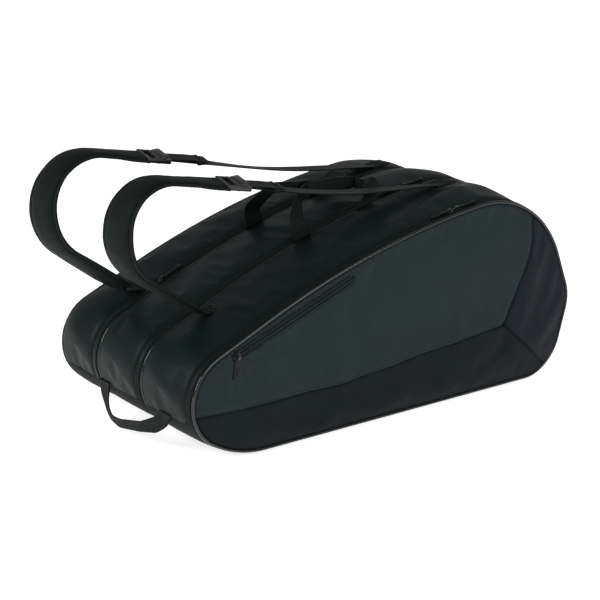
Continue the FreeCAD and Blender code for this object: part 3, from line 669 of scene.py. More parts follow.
def make_gusset(name, number):
    """The coated cloth of one tub, from the zip's tape to the next piping."""
    near_y = ZIP_Y[number] + HALF_GAP + TAPE_WIDTH
    far_y = SEAM_Y[number + 1] - PIPING_RADIUS
    near = above_base(profile(SEAM_RISE[number]))
    far = above_base(profile(SEAM_RISE[number + 1]))
    points, out = band(near, far, near_y, far_y, *GUSSET_GRID)
    lift = gusset_lift(points, number + 1.0)
    if number == 0:
        lift = lift + side_gusset_sag(points)
    start = (points + out * lift[..., None]).reshape(-1, 3)
    rested = settled(start, grid_faces(*GUSSET_GRID), border(*GUSSET_GRID), sizes().growth, 0.0, 9.0)
    fine = refined(rested.reshape(points.shape))
    rows, columns = fine.shape[:2]
    # The topstitch beside each seam pulls the cloth down.
    across = lengths(fine[rows // 2])
    groove = np.exp(-((across - TOPSTITCH) / GROOVE_WIDTH) ** 2)
    groove += np.exp(-((across[-1] - across - TOPSTITCH) / GROOVE_WIDTH) ** 2)
    steps = unit(refined(out))
    fine = fine - steps * (GROOVE_DEPTH * groove)[None, :, None]
    made = shell(name + "_gusset_cloth", fine.reshape(-1, 3),
                 [face[::-1] for face in grid_faces(rows, columns)],
                 sizes().cloth, finish("pu_coated_polyester"), name, grid_uv(fine))
    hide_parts(name + "_gusset")
    for side, column in (("near", 1), ("far", columns - 2)):
        stitches(f"{name}_gusset_{side}_stitches", fine[:, column], steps[:, column], name)


def side_gusset_sag(points):
    """The trough in the side tub's gusset, over the space between the racket heads and grips."""
    x, y = points[..., 0], points[..., 1]
    depth, half_width = 0.011, 0.022
    middle = -0.125 + 0.06 * np.sin((x + 0.05) * 4)
    width = np.exp(-((y - middle) / half_width) ** 2)
    along = smooth_step(x, -0.12, 0.02) * (1 - smooth_step(x, 0.16, 0.27))
    top = smooth_step(points[..., 2], 0.2, 0.26)
    return -depth * width * along * top


def make_base(name, number):
    """The heavy cloth under one tub, turned up to the base seam at both ends."""
    near_y = SEAM_Y[0] + PIPING_RADIUS + HALF_GAP if number == 0 else ZIP_Y[number] + HALF_GAP
    far_y = ZIP_Y[number + 1] - HALF_GAP if number < 2 else SEAM_Y[3] - PIPING_RADIUS
    outline = below_base(profile(1.0))
    points, out = band(outline, outline, near_y, far_y, *BASE_GRID)
    along = np.linspace(0, 1, BASE_GRID[0])[:, None]
    across = np.linspace(0, 1, BASE_GRID[1])[None, :]
    fade = np.sin(math.pi * across) ** 0.5 * np.clip(np.sin(math.pi * along), 0, 1) ** 0.4
    soft = ripple(points.reshape(-1, 3), 0.06, 11.0 + number).reshape(BASE_GRID)
    lift = fade * (sizes().base_sag + 0.0012 * soft)
    # Where the bag rests on the floor, the floor stops the sag.
    resting, floor_gap = points[..., 2] < 0.004, 0.0046
    lift = np.where(resting, np.minimum(lift, floor_gap), lift)
    fine = refined(points + out * lift[..., None])
    rows, columns = fine.shape[:2]
    made = shell(name + "_base_cloth", fine.reshape(-1, 3),
                 [face[::-1] for face in grid_faces(rows, columns)],
                 sizes().cloth, finish("ballistic_polyester"), name, grid_uv(fine))
    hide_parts(name + "_base")


class BAG_OT_tubs(bpy.types.Operator):
    """Gusset and base cloth of the three tubs."""
    bl_idname = "bag.tubs"
    bl_label = "Tubs"

    def execute(self, context):
        for number, name in enumerate(TUBS):
            make_gusset(name, number)
            make_base(name, number)
        return {"FINISHED"}


# ---------------------------------------------------------------- piping

def make_piping(name, number, body, whole):
    """Vinyl over cord, in the seam. The cord puckers slightly between stitches."""
    path = profile(SEAM_RISE[number], PIPING_RADIUS)
    if whole:
        path = resample(path, PIPING_ROWS + 1)[:-1]
        out = outward(np.concatenate((path[-1:], path, path[:1])))[1:-1]
    else:
        path = resample(above_base(path), PIPING_ROWS)
        out = outward(path)
    centre = in_space(path, SEAM_Y[number])
    pucker = 1 + 0.035 * np.sin(np.arange(PIPING_ROWS) * 1.7) + 0.04 * ripple(centre, 0.02, 3.0, 1)
    radius = PIPING_RADIUS * pucker[:, None]
    rings = round_rings(centre, in_space(out), Y_AXIS, radius, radius, 10)
    made = tube(name + "_vinyl", rings, finish("vinyl_piping"), body, capped=not whole)
    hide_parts(name)


class BAG_OT_pipings(bpy.types.Operator):
    """The four pipings."""
    bl_idname = "bag.pipings"
    bl_label = "Pipings"

    def execute(self, context):
        make_piping("side_piping", 0, "side_panel", True)
        make_piping("front_piping", 1, "side_tub", False)
        make_piping("middle_piping", 2, "middle_tub", False)
        make_piping("rear_piping", 3, "rear_tub", True)
        return {"FINISHED"}


# ---------------------------------------------------------------- zips

# Places across a zip's half from its sewn edge to its teeth, and their heights above the seam's
# surface. The tape is at TAPE_LEVEL, and the coil starts at one of the places.
ZIP_SECTION = ((0.0, 0.0002), (0.0015, -0.0003), (0.0030, 0.0003), (0.0045, 0.0004),
               (0.0052, 0.0010), (0.0060, 0.0017), (0.0068, 0.0017), (0.00735, 0.0008))


COIL_START = 3
TAPE_LEVEL = 0.0004
ZIP_ROWS = 1300


def make_zip_half(name, node_name, number, body, toward):
    """One half of a zip: woven tape sewn at one edge, with a row of coil at the other."""
    sewn_y = SEAM_Y[number] + PIPING_RADIUS if toward > 0 else ZIP_Y[number] + HALF_GAP + TAPE_WIDTH
    path = resample(above_base(profile(SEAM_RISE[number])), ZIP_ROWS)
    out = in_space(outward(path))
    base = in_space(path, sewn_y)
    # The rear zip's coil starts at REAR_ZIP_START_X; before that its tape lies flat.
    shut = np.ones(ZIP_ROWS)
    if number == 2:
        shut = smooth_step(path[:, 0], REAR_ZIP_START_X, REAR_ZIP_START_X + 0.01)
    ribs = 0.5 + 0.5 * np.cos(np.arange(ZIP_ROWS) * math.pi)
    columns = []
    for across, height in ZIP_SECTION:
        coil = max(0.0, height - TAPE_LEVEL)
        level = min(height, TAPE_LEVEL) + coil * (0.35 + 0.65 * ribs) * shut
        columns.append(base + Y_AXIS * across * toward + out * level[:, None])
    points = np.stack(columns, axis=1)
    faces = grid_faces(ZIP_ROWS, len(ZIP_SECTION))
    if toward > 0:
        faces = [face[::-1] for face in faces]
    made = shell(name, points.reshape(-1, 3), faces, 0.0011, finish("nylon_coil"), body,
                 grid_uv(points))
    made.data.materials.append(finish("zip_tape_weave"))
    is_tape = [int(min(v % len(ZIP_SECTION) for v in polygon.vertices) < COIL_START)
               for polygon in made.data.polygons]
    made.data.polygons.foreach_set("material_index", is_tape)
    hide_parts(node_name)
    stitches(name + "_stitches", base + Y_AXIS * 0.0016 * toward, out, body,
             pitch=0.0040, gauge=0.0006, sink=0.6)


class BAG_OT_zips(bpy.types.Operator):
    """Both halves of the three long zips."""
    bl_idname = "bag.zips"
    bl_label = "Zips"

    def execute(self, context):
        near = (("side_seam_tape", "side_panel"), ("front_seam_tape", "side_tub"),
                ("middle_seam_tape", "middle_tub"))
        for number, (node_name, body) in enumerate(near):
            make_zip_half(node_name + "_half", node_name, number, body, 1)
            far = TUBS[number] + "_zip_tape"
            make_zip_half(far + "_half", far, number, TUBS[number], -1)
        return {"FINISHED"}


# ---------------------------------------------------------------- side panel and padded walls

def inside(points, polygon):
    """Which flat points lie inside a closed polygon."""
    x, y = points[:, 0], points[:, 1]
    result = np.zeros(len(points), bool)
    for (ax, ay), (bx, by) in zip(polygon, np.roll(polygon, -1, axis=0)):
        if ay != by:
            crosses = ((ay > y) != (by > y)) & (x < (bx - ax) * (y - ay) / (by - ay) + ax)
            result ^= crosses
    return result


def triangulated(outline, lines, spacing):
    """Even triangles inside an outline, whose edges follow the lines."""
    paths = [closed_path(outline)] + list(lines)
    fixed = [resample(path, max(2, int(lengths(path)[-1] / spacing))) for path in paths]
    fixed[0] = fixed[0][:-1]
    points, edges = [], []
    for i, path in enumerate(fixed):
        first = len(points)
        points += [tuple(p) for p in path]
        edges += [(first + k, first + k + 1) for k in range(len(path) - 1)]
        if i == 0:
            edges.append((first + len(path) - 1, first))
    low, high = outline.min(axis=0), outline.max(axis=0)
    row_height = spacing * 0.866
    rows = int((high[1] - low[1]) / row_height) + 1
    columns = int((high[0] - low[0]) / spacing) + 1
    cells = np.array([(low[0] + spacing * (i + 0.5 * (j % 2)), low[1] + row_height * j)
                      for j in range(rows) for i in range(columns)])
    cells = cells[inside(cells, outline)]
    cells = cells[distance_to(cells, np.concatenate(fixed)) > spacing * 0.6]
    points += [tuple(p) for p in cells]
    result = delaunay_2d_cdt([Vector(p) for p in points], edges, [], 0, 1e-6)
    flat, triangles = np.array([tuple(p) for p in result[0]]), result[2]
    centres = np.array([flat[list(t)].mean(axis=0) for t in triangles])
    keep = inside(centres, outline)
    return flat, [tuple(t) for t, kept in zip(triangles, keep) if kept], centres[keep]


def seam_paths():
    """The side panel's seams as flat paths: lower, head, foot, and the pocket zip's slot."""
    lower, head, foot = (rounded(seam) for seam in (LOWER_SEAM, HEAD_SEAM, FOOT_SEAM))
    along = np.array((math.cos(POCKET_ZIP_ANGLE), math.sin(POCKET_ZIP_ANGLE)))
    across = np.array((-along[1], along[0])) * POCKET_TAPE_WIDTH / 2
    start, end = POCKET_ZIP_START, POCKET_ZIP_START + along * POCKET_ZIP_LENGTH
    slot = np.array((start - across, end - across, end + across, start + across, start - across))
    return lower, head, foot, slot


def clipped(path, outline):
    """The part of a path inside an outline, with its ends on the outline."""
    path = resample(path, 400)
    kept = path[inside(path, outline)]
    ends = [outline[np.linalg.norm(outline - kept[i], axis=1).argmin()] for i in (0, -1)]
    return np.concatenate((ends[:1], kept, ends[1:]))


def edge_distance(flat, outline, count=1600):
    """Least distance from each flat point to a closed outline."""
    return distance_to(flat, resample(closed_path(outline), count))


SEAM_DEPTHS = (0.0013, 0.0012, 0.0012)
SEAM_HALF_WIDTH = 0.0035


def panel_height(flat, outline, seams):
    """How far the side panel stands out at each flat point."""
    edge = edge_distance(flat, outline)
    dome = sizes().panel_dome * (1 - np.exp(-edge / 0.030))
    slot = seams[3]
    zip_gap = distance_to(flat, resample((slot[:2] + slot[[3, 2]]) / 2, 120))
    arm = flat - POCKET_ZIP_START
    reach = np.linalg.norm(arm, axis=1)
    # The cloth stays level along the zip, and where its puller swings.
    level = 1 - np.minimum(smooth_step(zip_gap, 0.006, 0.045), smooth_step(reach, 0.036, 0.075))
    level_height = 0.0028
    height = dome * (1 - level) + np.minimum(dome, level_height) * level
    for seam, depth in zip(seams, SEAM_DEPTHS):
        gap = distance_to(flat, resample(seam, 500))
        height -= depth * np.exp(-(gap / SEAM_HALF_WIDTH) ** 2)
    # Puckers fan out from the tail end of the pocket's zip, where the cloth is gathered.
    angle = np.arctan2(arm[:, 1], arm[:, 0])
    fan = np.sin(angle * 9 + 1.3 * np.sin(angle * 4)) * np.exp(-((reach - 0.035) / 0.032) ** 2)
    height += 0.0012 * fan * smooth_step(edge, 0.004, 0.02)
    soft = ripple(in_space(flat) * (0.6, 1.0, 1.0), 0.10, 21.0)
    return height + 0.0012 * soft * smooth_step(edge, 0.0, 0.04)


def panel_regions(centres, seams):
    """The cloth that each triangle belongs to: pocket, lower, head or zip tape."""
    lower, head, foot, slot = seams
    far = 2.0
    below = np.concatenate((lower, foot[1:], [(foot[-1][0], -far), (-far, -far),
                                              (-far, lower[0][1])]))
    beyond = np.concatenate((foot[::-1], head[1:], [(head[-1][0], far), (far, far), (far, -far),
                                                    (foot[-1][0], -far)]))
    region = np.zeros(len(centres), int)
    region[inside(centres, beyond)] = 2
    region[inside(centres, below)] = 1
    region[inside(centres, slot[:4])] = 3
    return region


def part_of(faces, wanted):
    """The points that some of a mesh's faces use, and those faces numbered afresh."""
    chosen = [face for face, keep in zip(faces, wanted) if keep]
    used = sorted({i for face in chosen for i in face})
    place = {old: new for new, old in enumerate(used)}
    return np.array(used), [tuple(place[i] for i in face) for face in chosen]


PANEL_CLOTHS = (("side_pocket_cloth", "ribbed_coated_polyester", "panel_cloth"),
                ("side_lower_cloth", "plain_polyester", "lower_cloth"),
                ("side_head_cloth", "calendered_polyester", "lower_cloth"),
                ("pocket_zip_tape", "plain_polyester", "zip_tape"))


def make_side_panel():
    """The panel's cloths and padding. Returns its flat points and where they settled."""
    outline = profile(1.0, 2 * PIPING_RADIUS + 0.0002)[:-1]
    seams = seam_paths()
    lines = [clipped(seam, outline) for seam in seams[:3]]
    flat, faces, centres = triangulated(outline, lines + [seams[3]], 0.005)
    surface = in_space(flat, PANEL_Y - panel_height(flat, outline, seams))
    faces = facing(surface, faces, -Y_AXIS)
    sewn_gap = np.minimum(edge_distance(flat, outline), distance_to(flat, resample(seams[3], 200)))
    rested = settled(surface, faces, np.nonzero(sewn_gap < 0.0015)[0], 0.002, 0.1, 6.0)
    region = panel_regions(centres, seams)
    for number, (name, cloth, slot_name) in enumerate(PANEL_CLOTHS):
        used, own = part_of(faces, region == number)
        made = shell(name + "_piece", rested[used], own, sizes().cloth, finish(cloth),
                     "side_panel", flat[used])
        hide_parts(name)
    lining(rested, faces, flat)
    for number, (line, offset) in enumerate(zip(lines, (0.0028, -0.0028, -0.0028))):
        row = on_surface((line + outward(line) * offset)[6:-6], flat, rested)
        stitches(f"side_panel_stitches_{number}", row, np.tile(-Y_AXIS, (len(row), 1)),
                 "side_panel", pitch=0.0044, gauge=0.0005)
    return flat, rested


def facing(points, faces, direction):
    """The same faces, turned so that each one looks along the direction."""
    turned = []
    for face in faces:
        a, b, c = points[face[0]], points[face[1]], points[face[2]]
        turned.append(face if np.cross(b - a, c - a) @ direction > 0 else face[::-1])
    return turned


def on_surface(path, flat, surface):
    """Flat points lifted on to the nearest point of a surface."""
    nearest = [np.linalg.norm(flat - p, axis=1).argmin() for p in path]
    height = surface[nearest, 1]
    kernel = np.ones(5) / 5
    height = np.convolve(np.pad(height, 2, mode="edge"), kernel, mode="valid")
    return in_space(path, height)


def lining(rested, faces, flat):
    """The foam and lining behind the side panel's cloths, quilted across."""
    front = rested + Y_AXIS * (sizes().cloth + 0.0006)
    channel_pitch, channel_depth = 0.09, 0.0012
    quilt = np.abs(np.sin(flat[:, 0] * math.pi / channel_pitch)) ** 0.4
    back = front.copy()
    back[:, 1] = FOAM_BACK_Y + channel_depth * (quilt - 1)
    made = piece("side_foam_padding", np.concatenate((front, back)),
                 closed_faces(faces, len(front)), finish("nylon_lining"), "side_panel",
                 uv=np.concatenate((flat, flat)))
    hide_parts("side_foam")


def make_wall(name, node_name, body, inset, y_low, y_high, crown, cloth, channels):
    """A padded wall across the bag: both faces crowned, with sewn channels across it."""
    outline = profile(1.0, inset)[:-1]
    flat, faces, _ = triangulated(outline, [], 0.008)
    swell = np.clip(edge_distance(flat, outline, 1200) / 0.02, 0, 1) ** 0.6
    for x in channels:
        swell *= 1 - 0.75 * np.exp(-((flat[:, 0] - x) / 0.006) ** 2)
    front = in_space(flat, y_low - crown[0] * swell)
    back = in_space(flat, y_high + crown[1] * swell)
    faces = facing(front, faces, -Y_AXIS)
    made = piece(name, np.concatenate((front, back)), closed_faces(faces, len(front)),
                 finish(cloth), body, uv=np.concatenate((flat, flat)))
    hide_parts(node_name)


class BAG_OT_side_panel(bpy.types.Operator):
    """The side panel's three cloths, its pocket zip's tape, and the foam behind them."""
    bl_idname = "bag.side_panel"
    bl_label = "Side panel"

    def execute(self, context):
        make_pocket_zip(*make_side_panel())
        return {"FINISHED"}


class BAG_OT_walls(bpy.types.Operator):
    """The dividers and the rear panel."""
    bl_idname = "bag.walls"
    bl_label = "Padded walls"

    def execute(self, context):
        quilting = (-0.24, -0.12, 0.0, 0.12, 0.24)
        make_wall("front_divider_wall", "front_divider", "side_tub", 0.008, -0.0588, -0.0562,
                  (0.0012, 0.0012), "nylon_lining", quilting)
        make_wall("middle_divider_wall", "middle_divider", "middle_tub", 0.008, 0.0622, 0.0648,
                  (0.0012, 0.0012), "nylon_lining", quilting)
        make_wall("rear_panel_wall", "rear_panel", "rear_tub", 0.0052, 0.1738, 0.1768,
                  (0.0005, 0.0070), "ribbed_coated_polyester", (-0.17, 0.17))
        return {"FINISHED"}


# Half widths and heights of the pocket zip's coil and lips, and how far from the zip's middle the
# lips and their stitches lie.
COIL_HALF_WIDTH, COIL_HEIGHT = 0.0017, 0.0010
LIP_HALF_WIDTH, LIP_HEIGHT = 0.0010, 0.0006
LIP_OFFSET = 0.0057
LIP_STITCH_OFFSET = 0.0090


def make_pocket_zip(flat, rested):
    """A coil along the middle of the pocket's tape, and a folded lip of cloth on each side."""
    along = np.array((math.cos(POCKET_ZIP_ANGLE), math.sin(POCKET_ZIP_ANGLE)))
    side = np.array((-along[1], 0, along[0]))
    count, around, end_gap = 200, 8, 0.004
    places = np.linspace(end_gap, POCKET_ZIP_LENGTH - end_gap, count)
    centre = on_surface(POCKET_ZIP_START + places[:, None] * along, flat, rested)
    ribs = (0.82 + 0.18 * np.cos(np.arange(count) * math.pi))[:, None]
    coil = round_rings(centre, side, -Y_AXIS, COIL_HALF_WIDTH * ribs, COIL_HEIGHT * ribs, around)
    tube("pocket_zip_coil", coil, finish("nylon_coil"), "side_panel")
    lip_uv = np.stack([np.column_stack((places, np.full(count, 0.001 * j)))
                       for j in range(around)], axis=1)
    for name, sign in (("upper", 1), ("lower", -1)):
        edge = centre + side * sign * LIP_OFFSET - Y_AXIS * 0.0002
        made = tube(f"pocket_zip_{name}_lip",
                    round_rings(edge, side, -Y_AXIS, LIP_HALF_WIDTH, LIP_HEIGHT, around),
                    finish("ribbed_coated_polyester"), "side_panel", uv=lip_uv)
        stitches(f"pocket_zip_{name}_stitches", centre + side * sign * LIP_STITCH_OFFSET,
                 np.tile(-Y_AXIS, (count, 1)), "side_panel")


# ---------------------------------------------------------------- webbing and pads

def swept(name, centres, sides, ups, section, cloth, body):
    """A closed band along a course: section is its (across, up) pairs in metres."""
    sides, ups = unit(sides), unit(ups)
    rings = [centres + sides * u + ups * v for u, v in section]
    along = lengths(centres)
    uv = [np.stack([along, np.full(len(centres), u)], axis=1) for u, v in section]
    return tube(name, np.stack(rings, axis=1), finish(cloth), body, uv=np.stack(uv, axis=1))


def webbing_section(width, thickness):
    """Flat webbing with rounded, slightly thicker selvedges."""
    half, t = width / 2, thickness / 2
    top = [(-half, 0), (-half * 0.97, t * 0.8), (-half * 0.90, t), (-half * 0.8, t * 0.85),
           (0, t * 0.92), (half * 0.8, t * 0.85), (half * 0.90, t), (half * 0.97, t * 0.8)]
    return top + [(-u, -v) for u, v in top]


# Shares of a pad's half width: where its stitched valley and its bound edge lie.
VALLEY_SHARE = 0.77
BINDING_SHARE = 0.885


def pad_section(width, thickness):
    """A padded band with a bound edge each side and a stitched valley beside it."""
    padded_share = 0.76
    shares = np.concatenate((np.linspace(-1, -0.74, 6), np.linspace(-0.68, 0.68, 11),
                             np.linspace(0.74, 1, 6)))
    top = []
    for share in shares:
        reach = abs(share)
        if reach > padded_share:
            flange = (reach - padded_share) / (1 - padded_share)
            level = 0.34 * max(0.0, 1 - flange ** 4) ** 0.5
            level *= 1 - 0.45 * math.exp(-((reach - VALLEY_SHARE) / 0.03) ** 2)
        else:
            level = 0.30 + 0.70 * (1 - (reach / padded_share) ** 3) ** 0.5
        top.append((share * width / 2, level * thickness / 2))
    return top + [(u, -v) for u, v in reversed(top[1:-1])]


def flat_frame(path, y, turn=0.0):
    """Centres, side and up directions of a band along a flat path at y, turned by degrees."""
    sides = np.tile(Y_AXIS, (len(path), 1))
    return in_space(path, y), *turned_over(sides, in_space(outward(path)), turn)


def turned_over(sides, ups, degrees):
    """Side and up directions turned about the band's own course."""
    angle = np.radians(np.broadcast_to(degrees, len(sides)))[:, None]
    return (sides * np.cos(angle) + ups * np.sin(angle),
            ups * np.cos(angle) - sides * np.sin(angle))


# A binding's section as (across, up) pairs.
BINDING_SECTION = ((-0.0036, 0.0), (-0.0032, 0.0018), (0.0, 0.0022), (0.0034, 0.0016),
                   (0.0038, 0.0), (0.0034, -0.0016), (0.0, -0.0022), (-0.0032, -0.0018))


def make_pad(name, strap):
    """A strap's pad, bindings and stitches. Returns the pad's last centre and up direction."""
    path = resample(rounded(strap["pad"]), 260)
    rows, along = len(path), lengths(path)
    total = along[-1]
    centres, sides, ups = flat_frame(path, strap["y"])
    bend = np.linalg.norm(np.gradient(ups, axis=0), axis=1) / np.gradient(along)
    sides, ups = turned_over(sides, ups, np.interp(along / total, TURN_SHARES, strap["turn"]))
    near_lock = smooth_step(total - along, 0.0, 0.055)
    near_foot = smooth_step(along, 0.0, 0.030)
    ease = (0.62 + 0.38 * near_lock) * (0.75 + 0.25 * near_foot)
    # The band's inner face creases across where it bends.
    crease = np.sin(along * 2 * math.pi / 0.021) * np.clip(bend / 12, 0, 1) * 0.0006
    half = sizes().pad_width / 2
    section = pad_section(sizes().pad_width, sizes().pad_thickness)
    rings = []
    for u, v in section:
        place = centres + sides * (u * ease)[:, None]
        share = abs(u) / half
        soft = ripple(place, 0.018, 31.0 + (v > 0), 2) * 0.0007 * (1 - share)
        wrinkle = soft * (1 if v > 0 else -1) + crease * (1 if v < 0 else 0.35)
        level = v * (0.55 + 0.45 * near_lock * near_foot) - 0.0022 * share ** 2
        rings.append(place + ups * (level + wrinkle)[:, None])
    uv = np.stack([np.stack([along, np.full(rows, u)], axis=1) for u, v in section], axis=1)
    made = tube(name + "_padding", np.stack(rings, axis=1), finish("air_mesh_pad_cloth"), name,
                uv=uv)
    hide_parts(name + "_pad")
    for side, sign in (("left", -1), ("right", 1)):
        across = sides * (sign * half * ease)[:, None]
        bound = swept(f"{name}_binding_{side}", centres + across * BINDING_SHARE - ups * 0.0019,
                      sides * sign, ups, BINDING_SECTION, "binding_tape", name)
        for face, lift in (("outer", 0.0009), ("inner", -0.0043)):
            row = (centres + across * VALLEY_SHARE + ups * lift)[4:-4]
            normals = (ups if lift > 0 else -ups)[4:-4]
            stitches(f"{name}_{face}_stitches_{side}", row, normals, name, pitch=0.0046,
                     gauge=0.0006)
    return centres[-1], ups[-1]


def slab(outline, levels):
    """Rings of a flat moulding: outline is (x, y), levels are (height, inset) pairs."""
    closed = np.concatenate((outline[-1:], outline, outline[:1]))
    tangent = unit(closed[2:] - closed[:-2])
    inward = np.stack([-tangent[:, 1], tangent[:, 0]], axis=1)
    return [np.column_stack((outline + inward * inset, np.full(len(outline), height)))
            for height, inset in levels]


def rounded_outline(length, width, corner, steps=5):
    """A rectangle from x 0 to length with rounded corners, as (x, y) points."""
    points = []
    far, side = length - corner, width / 2 - corner
    for x, y, start in ((far, side, 0), (corner, side, 90), (corner, -side, 180), (far, -side, 270)):
        for angle in np.radians(np.linspace(start, start + 90, steps)):
            points.append((x + corner * math.cos(angle), y + corner * math.sin(angle)))
    return np.array(points)


def rings_mesh(ring_sets):
    """Points and faces of several closed forms, each given as rings from bottom to top."""
    points, faces = [], []
    for rings in ring_sets:
        count, around, first = len(rings), len(rings[0]), len(points)
        for ring in rings:
            points += [tuple(p) for p in ring]
        for i in range(count - 1):
            for j in range(around):
                a, b = first + i * around + j, first + i * around + (j + 1) % around
                faces.append((a, b, b + around, a + around))
        faces.append(tuple(first + j for j in reversed(range(around))))
        faces.append(tuple(first + (count - 1) * around + j for j in range(around)))
    return np.array(points), faces


def placed(points, origin, x_axis, z_axis):
    """Local points moved to an origin, with their x and z along the given directions."""
    x, z = unit(x_axis), unit(z_axis)
    y = np.cross(z, x)
    return np.asarray(origin) + points[:, :1] * x + points[:, 1:2] * y + points[:, 2:3] * z


def soft_bar(x, y, length, width, height, low=0.0, corner=0.001):
    """A bar with rounded corners and edges, its middle at x, y."""
    outline = rounded_outline(length, width, min(corner, length / 2.2, width / 2.2), 4)
    outline = outline + (x - length / 2, y)
    edge = min(0.0008, height * 0.3)
    return slab(outline, ((low, edge), (low + edge * 0.3, edge * 0.3), (low + edge, 0),
                          (low + height - edge, 0), (low + height - edge * 0.3, edge * 0.3),
                          (low + height, edge)))


LOCK_SCALE = (1.28, 1.08, 1.45)
LOCK_LENGTH = 0.0336
LOCK_WIDTH = 0.034
RAIL_WIDTH = 0.0038
# Each bar's place along the lock, its length, height and underside.
LOCK_BARS = ((0.0026, 0.0046, 0.0046, -0.0023), (0.0168, 0.0052, 0.0058, -0.0029),
             (0.0318, 0.0040, 0.0046, -0.0023))


def make_lock(name, origin, along, up):
    """A ladder lock: two rails, three bars and a lifted thumb lip."""
    rail_y = (LOCK_WIDTH - RAIL_WIDTH) / 2
    forms = [soft_bar(0.0172, y, LOCK_LENGTH, RAIL_WIDTH, 0.0052, -0.0026)
             for y in (-rail_y, rail_y)]
    forms += [soft_bar(x, 0, length, LOCK_WIDTH - 0.0005, height, low, 0.0014)
              for x, length, height, low in LOCK_BARS]
    points, faces = rings_mesh(forms)
    lip, lip_faces = rings_mesh([soft_bar(0.0, 0, 0.013, 0.030, 0.0022, 0.0, 0.003)])
    tilt, lip_x, lip_z = math.radians(14), 0.024, 0.0022
    turned = np.column_stack((lip[:, 0] * math.cos(tilt) - lip[:, 2] * math.sin(tilt) + lip_x,
                              lip[:, 1], lip[:, 0] * math.sin(tilt) + lip[:, 2] + lip_z))
    faces = faces + [tuple(i + len(points) for i in face) for face in lip_faces]
    local = np.concatenate((points, turned)) * LOCK_SCALE
    made = piece(name + "_lock_frame", placed(local, origin, along, up), faces,
                 finish("acetal_moulding"), name)
    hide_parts(name + "_ladder_lock")


def node_points(name):
    """A CAD node's own points, in the row frame."""
    return coordinates(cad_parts[name].data)


def node_end(name, sign, depth=0.001):
    """The flat middle of a CAD node's end: its lowest x for sign -1, its highest for 1."""
    points = node_points(name)
    x = sign * (sign * points[:, 0]).max()
    return np.array((x, points[np.abs(points[:, 0] - x) < depth, 2].mean()))


def make_webbing(name, strap):
    """Webbing from the lock to the top of the bag, where a patch holds its end."""
    before, end = (np.array(corner[:2]) for corner in strap["pad"][-2:])
    along = unit(end - before)
    y = strap["y"]
    section = webbing_section(sizes().webbing_width, sizes().webbing_thickness)
    stop = node_end(name + "_webbing", 1, 0.002)
    path = resample(rounded(((*(end + along * 0.0180), 0.0), strap["bend"], (*stop, 0.0))), 150)
    share = np.linspace(0, 1, 150)
    turn = (5 * np.sin(share * math.pi * 2.2 + y * 30) * smooth_step(share, 0, 0.3)
            + LOCK_TURN * (1 - smooth_step(share, 0.15, 0.5)))
    centres, sides, ups = flat_frame(path, y, turn)
    centres[:, 2] -= 0.0022 * np.sin(share * math.pi) ** 2
    made = swept(name + "_adjuster", centres, sides, ups, section, "polypropylene_webbing", name)
    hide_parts(name + "_webbing")
    # The webbing's free end comes back through the lock and lies on the webbing.
    course = (end + along * 0.010, end + along * 0.020, end + along * 0.034 + (0, 0.0012),
              path[22] + (0, 0.0038), path[34] + (0, 0.0034))
    tail = smoothed(resample(course, 60), 9)
    tail_piece = swept(name + "_free_end", *flat_frame(tail, y, LOCK_TURN),
                       [(u * 0.98, v * 0.85) for u, v in section], "polypropylene_webbing", name)
    keeper = resample((path[28] + (-0.006, 0.0015), path[28] + (0.006, 0.0012)), 12)
    keeper_piece = swept(name + "_keeper", *flat_frame(keeper, y, LOCK_TURN),
                         [(u * 1.12, v * 3.4) for u, v in section], "binding_tape", name)
    return in_space(along)


def smoothed(path, reach):
    """A path with its bends eased by a running mean, its ends kept."""
    kernel = np.hanning(reach + 2)[1:-1]
    kernel /= kernel.sum()
    half = reach // 2
    wide = np.concatenate((np.repeat(path[:1], half, axis=0), path,
                           np.repeat(path[-1:], half, axis=0)))
    eased = np.stack([np.convolve(column, kernel, mode="valid") for column in wide.T], axis=1)
    eased[0], eased[-1] = path[0], path[-1]
    return eased


def sewn_frame(path, y):
    """The frame of webbing that is sewn down, with its up directions out of the bag."""
    centres, sides, ups = flat_frame(path, y)
    return centres, sides, np.where(ups[:, 2:3] < 0, -ups, ups)


def make_tab(name, strap):
    """The webbing tab between the pad's foot and the gusset, with a box of stitches."""
    foot, knee = (np.array(corner[:2]) for corner in strap["pad"][:2])
    # The tab starts inside the pad's foot.
    inside_pad = foot + unit(knee - foot) * 0.008
    ends = (inside_pad, foot, node_end(name + "_foot_tab", -1), node_end(name + "_foot_tab", 1))
    course = sewn_frame(smoothed(resample(ends, 40), 7), strap["y"])
    made = swept(name + "_foot_webbing", *course, webbing_section(0.026, 0.0027),
                 "polypropylene_webbing", strap["body"])
    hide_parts(name + "_foot_tab")
    box_stitches(name + "_foot_box", *(values[18:] for values in course), 0.009, 0.0014,
                 strap["body"])


def box_stitches(name, centres, sides, ups, half_width, lift, body):
    """Two rows along and a cross of stitches where webbing is sewn down."""
    high = centres + ups * lift
    rows = [high + sides * half_width, high - sides * half_width]
    cross = np.linspace(-half_width, half_width, len(centres))[:, None]
    rows += [high + sides * cross, high - sides * cross]
    for number, row in enumerate(rows):
        stitches(f"{name}_{number}", row, ups, body, pitch=0.0036)


def make_patch(name, strap):
    """The folded webbing patch on top of the gusset, over the webbing's end."""
    ends = (node_end(name + "_top_patch", -1), node_end(name + "_top_patch", 1))
    course = sewn_frame(resample(ends, 24), strap["y"])
    made = swept(name + "_patch_webbing", *course, webbing_section(0.029, 0.004),
                 "polypropylene_webbing", strap["body"])
    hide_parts(name + "_top_patch")
    box_stitches(name + "_patch_box", *(values[2:-2] for values in course), 0.011, 0.0020,
                 strap["body"])


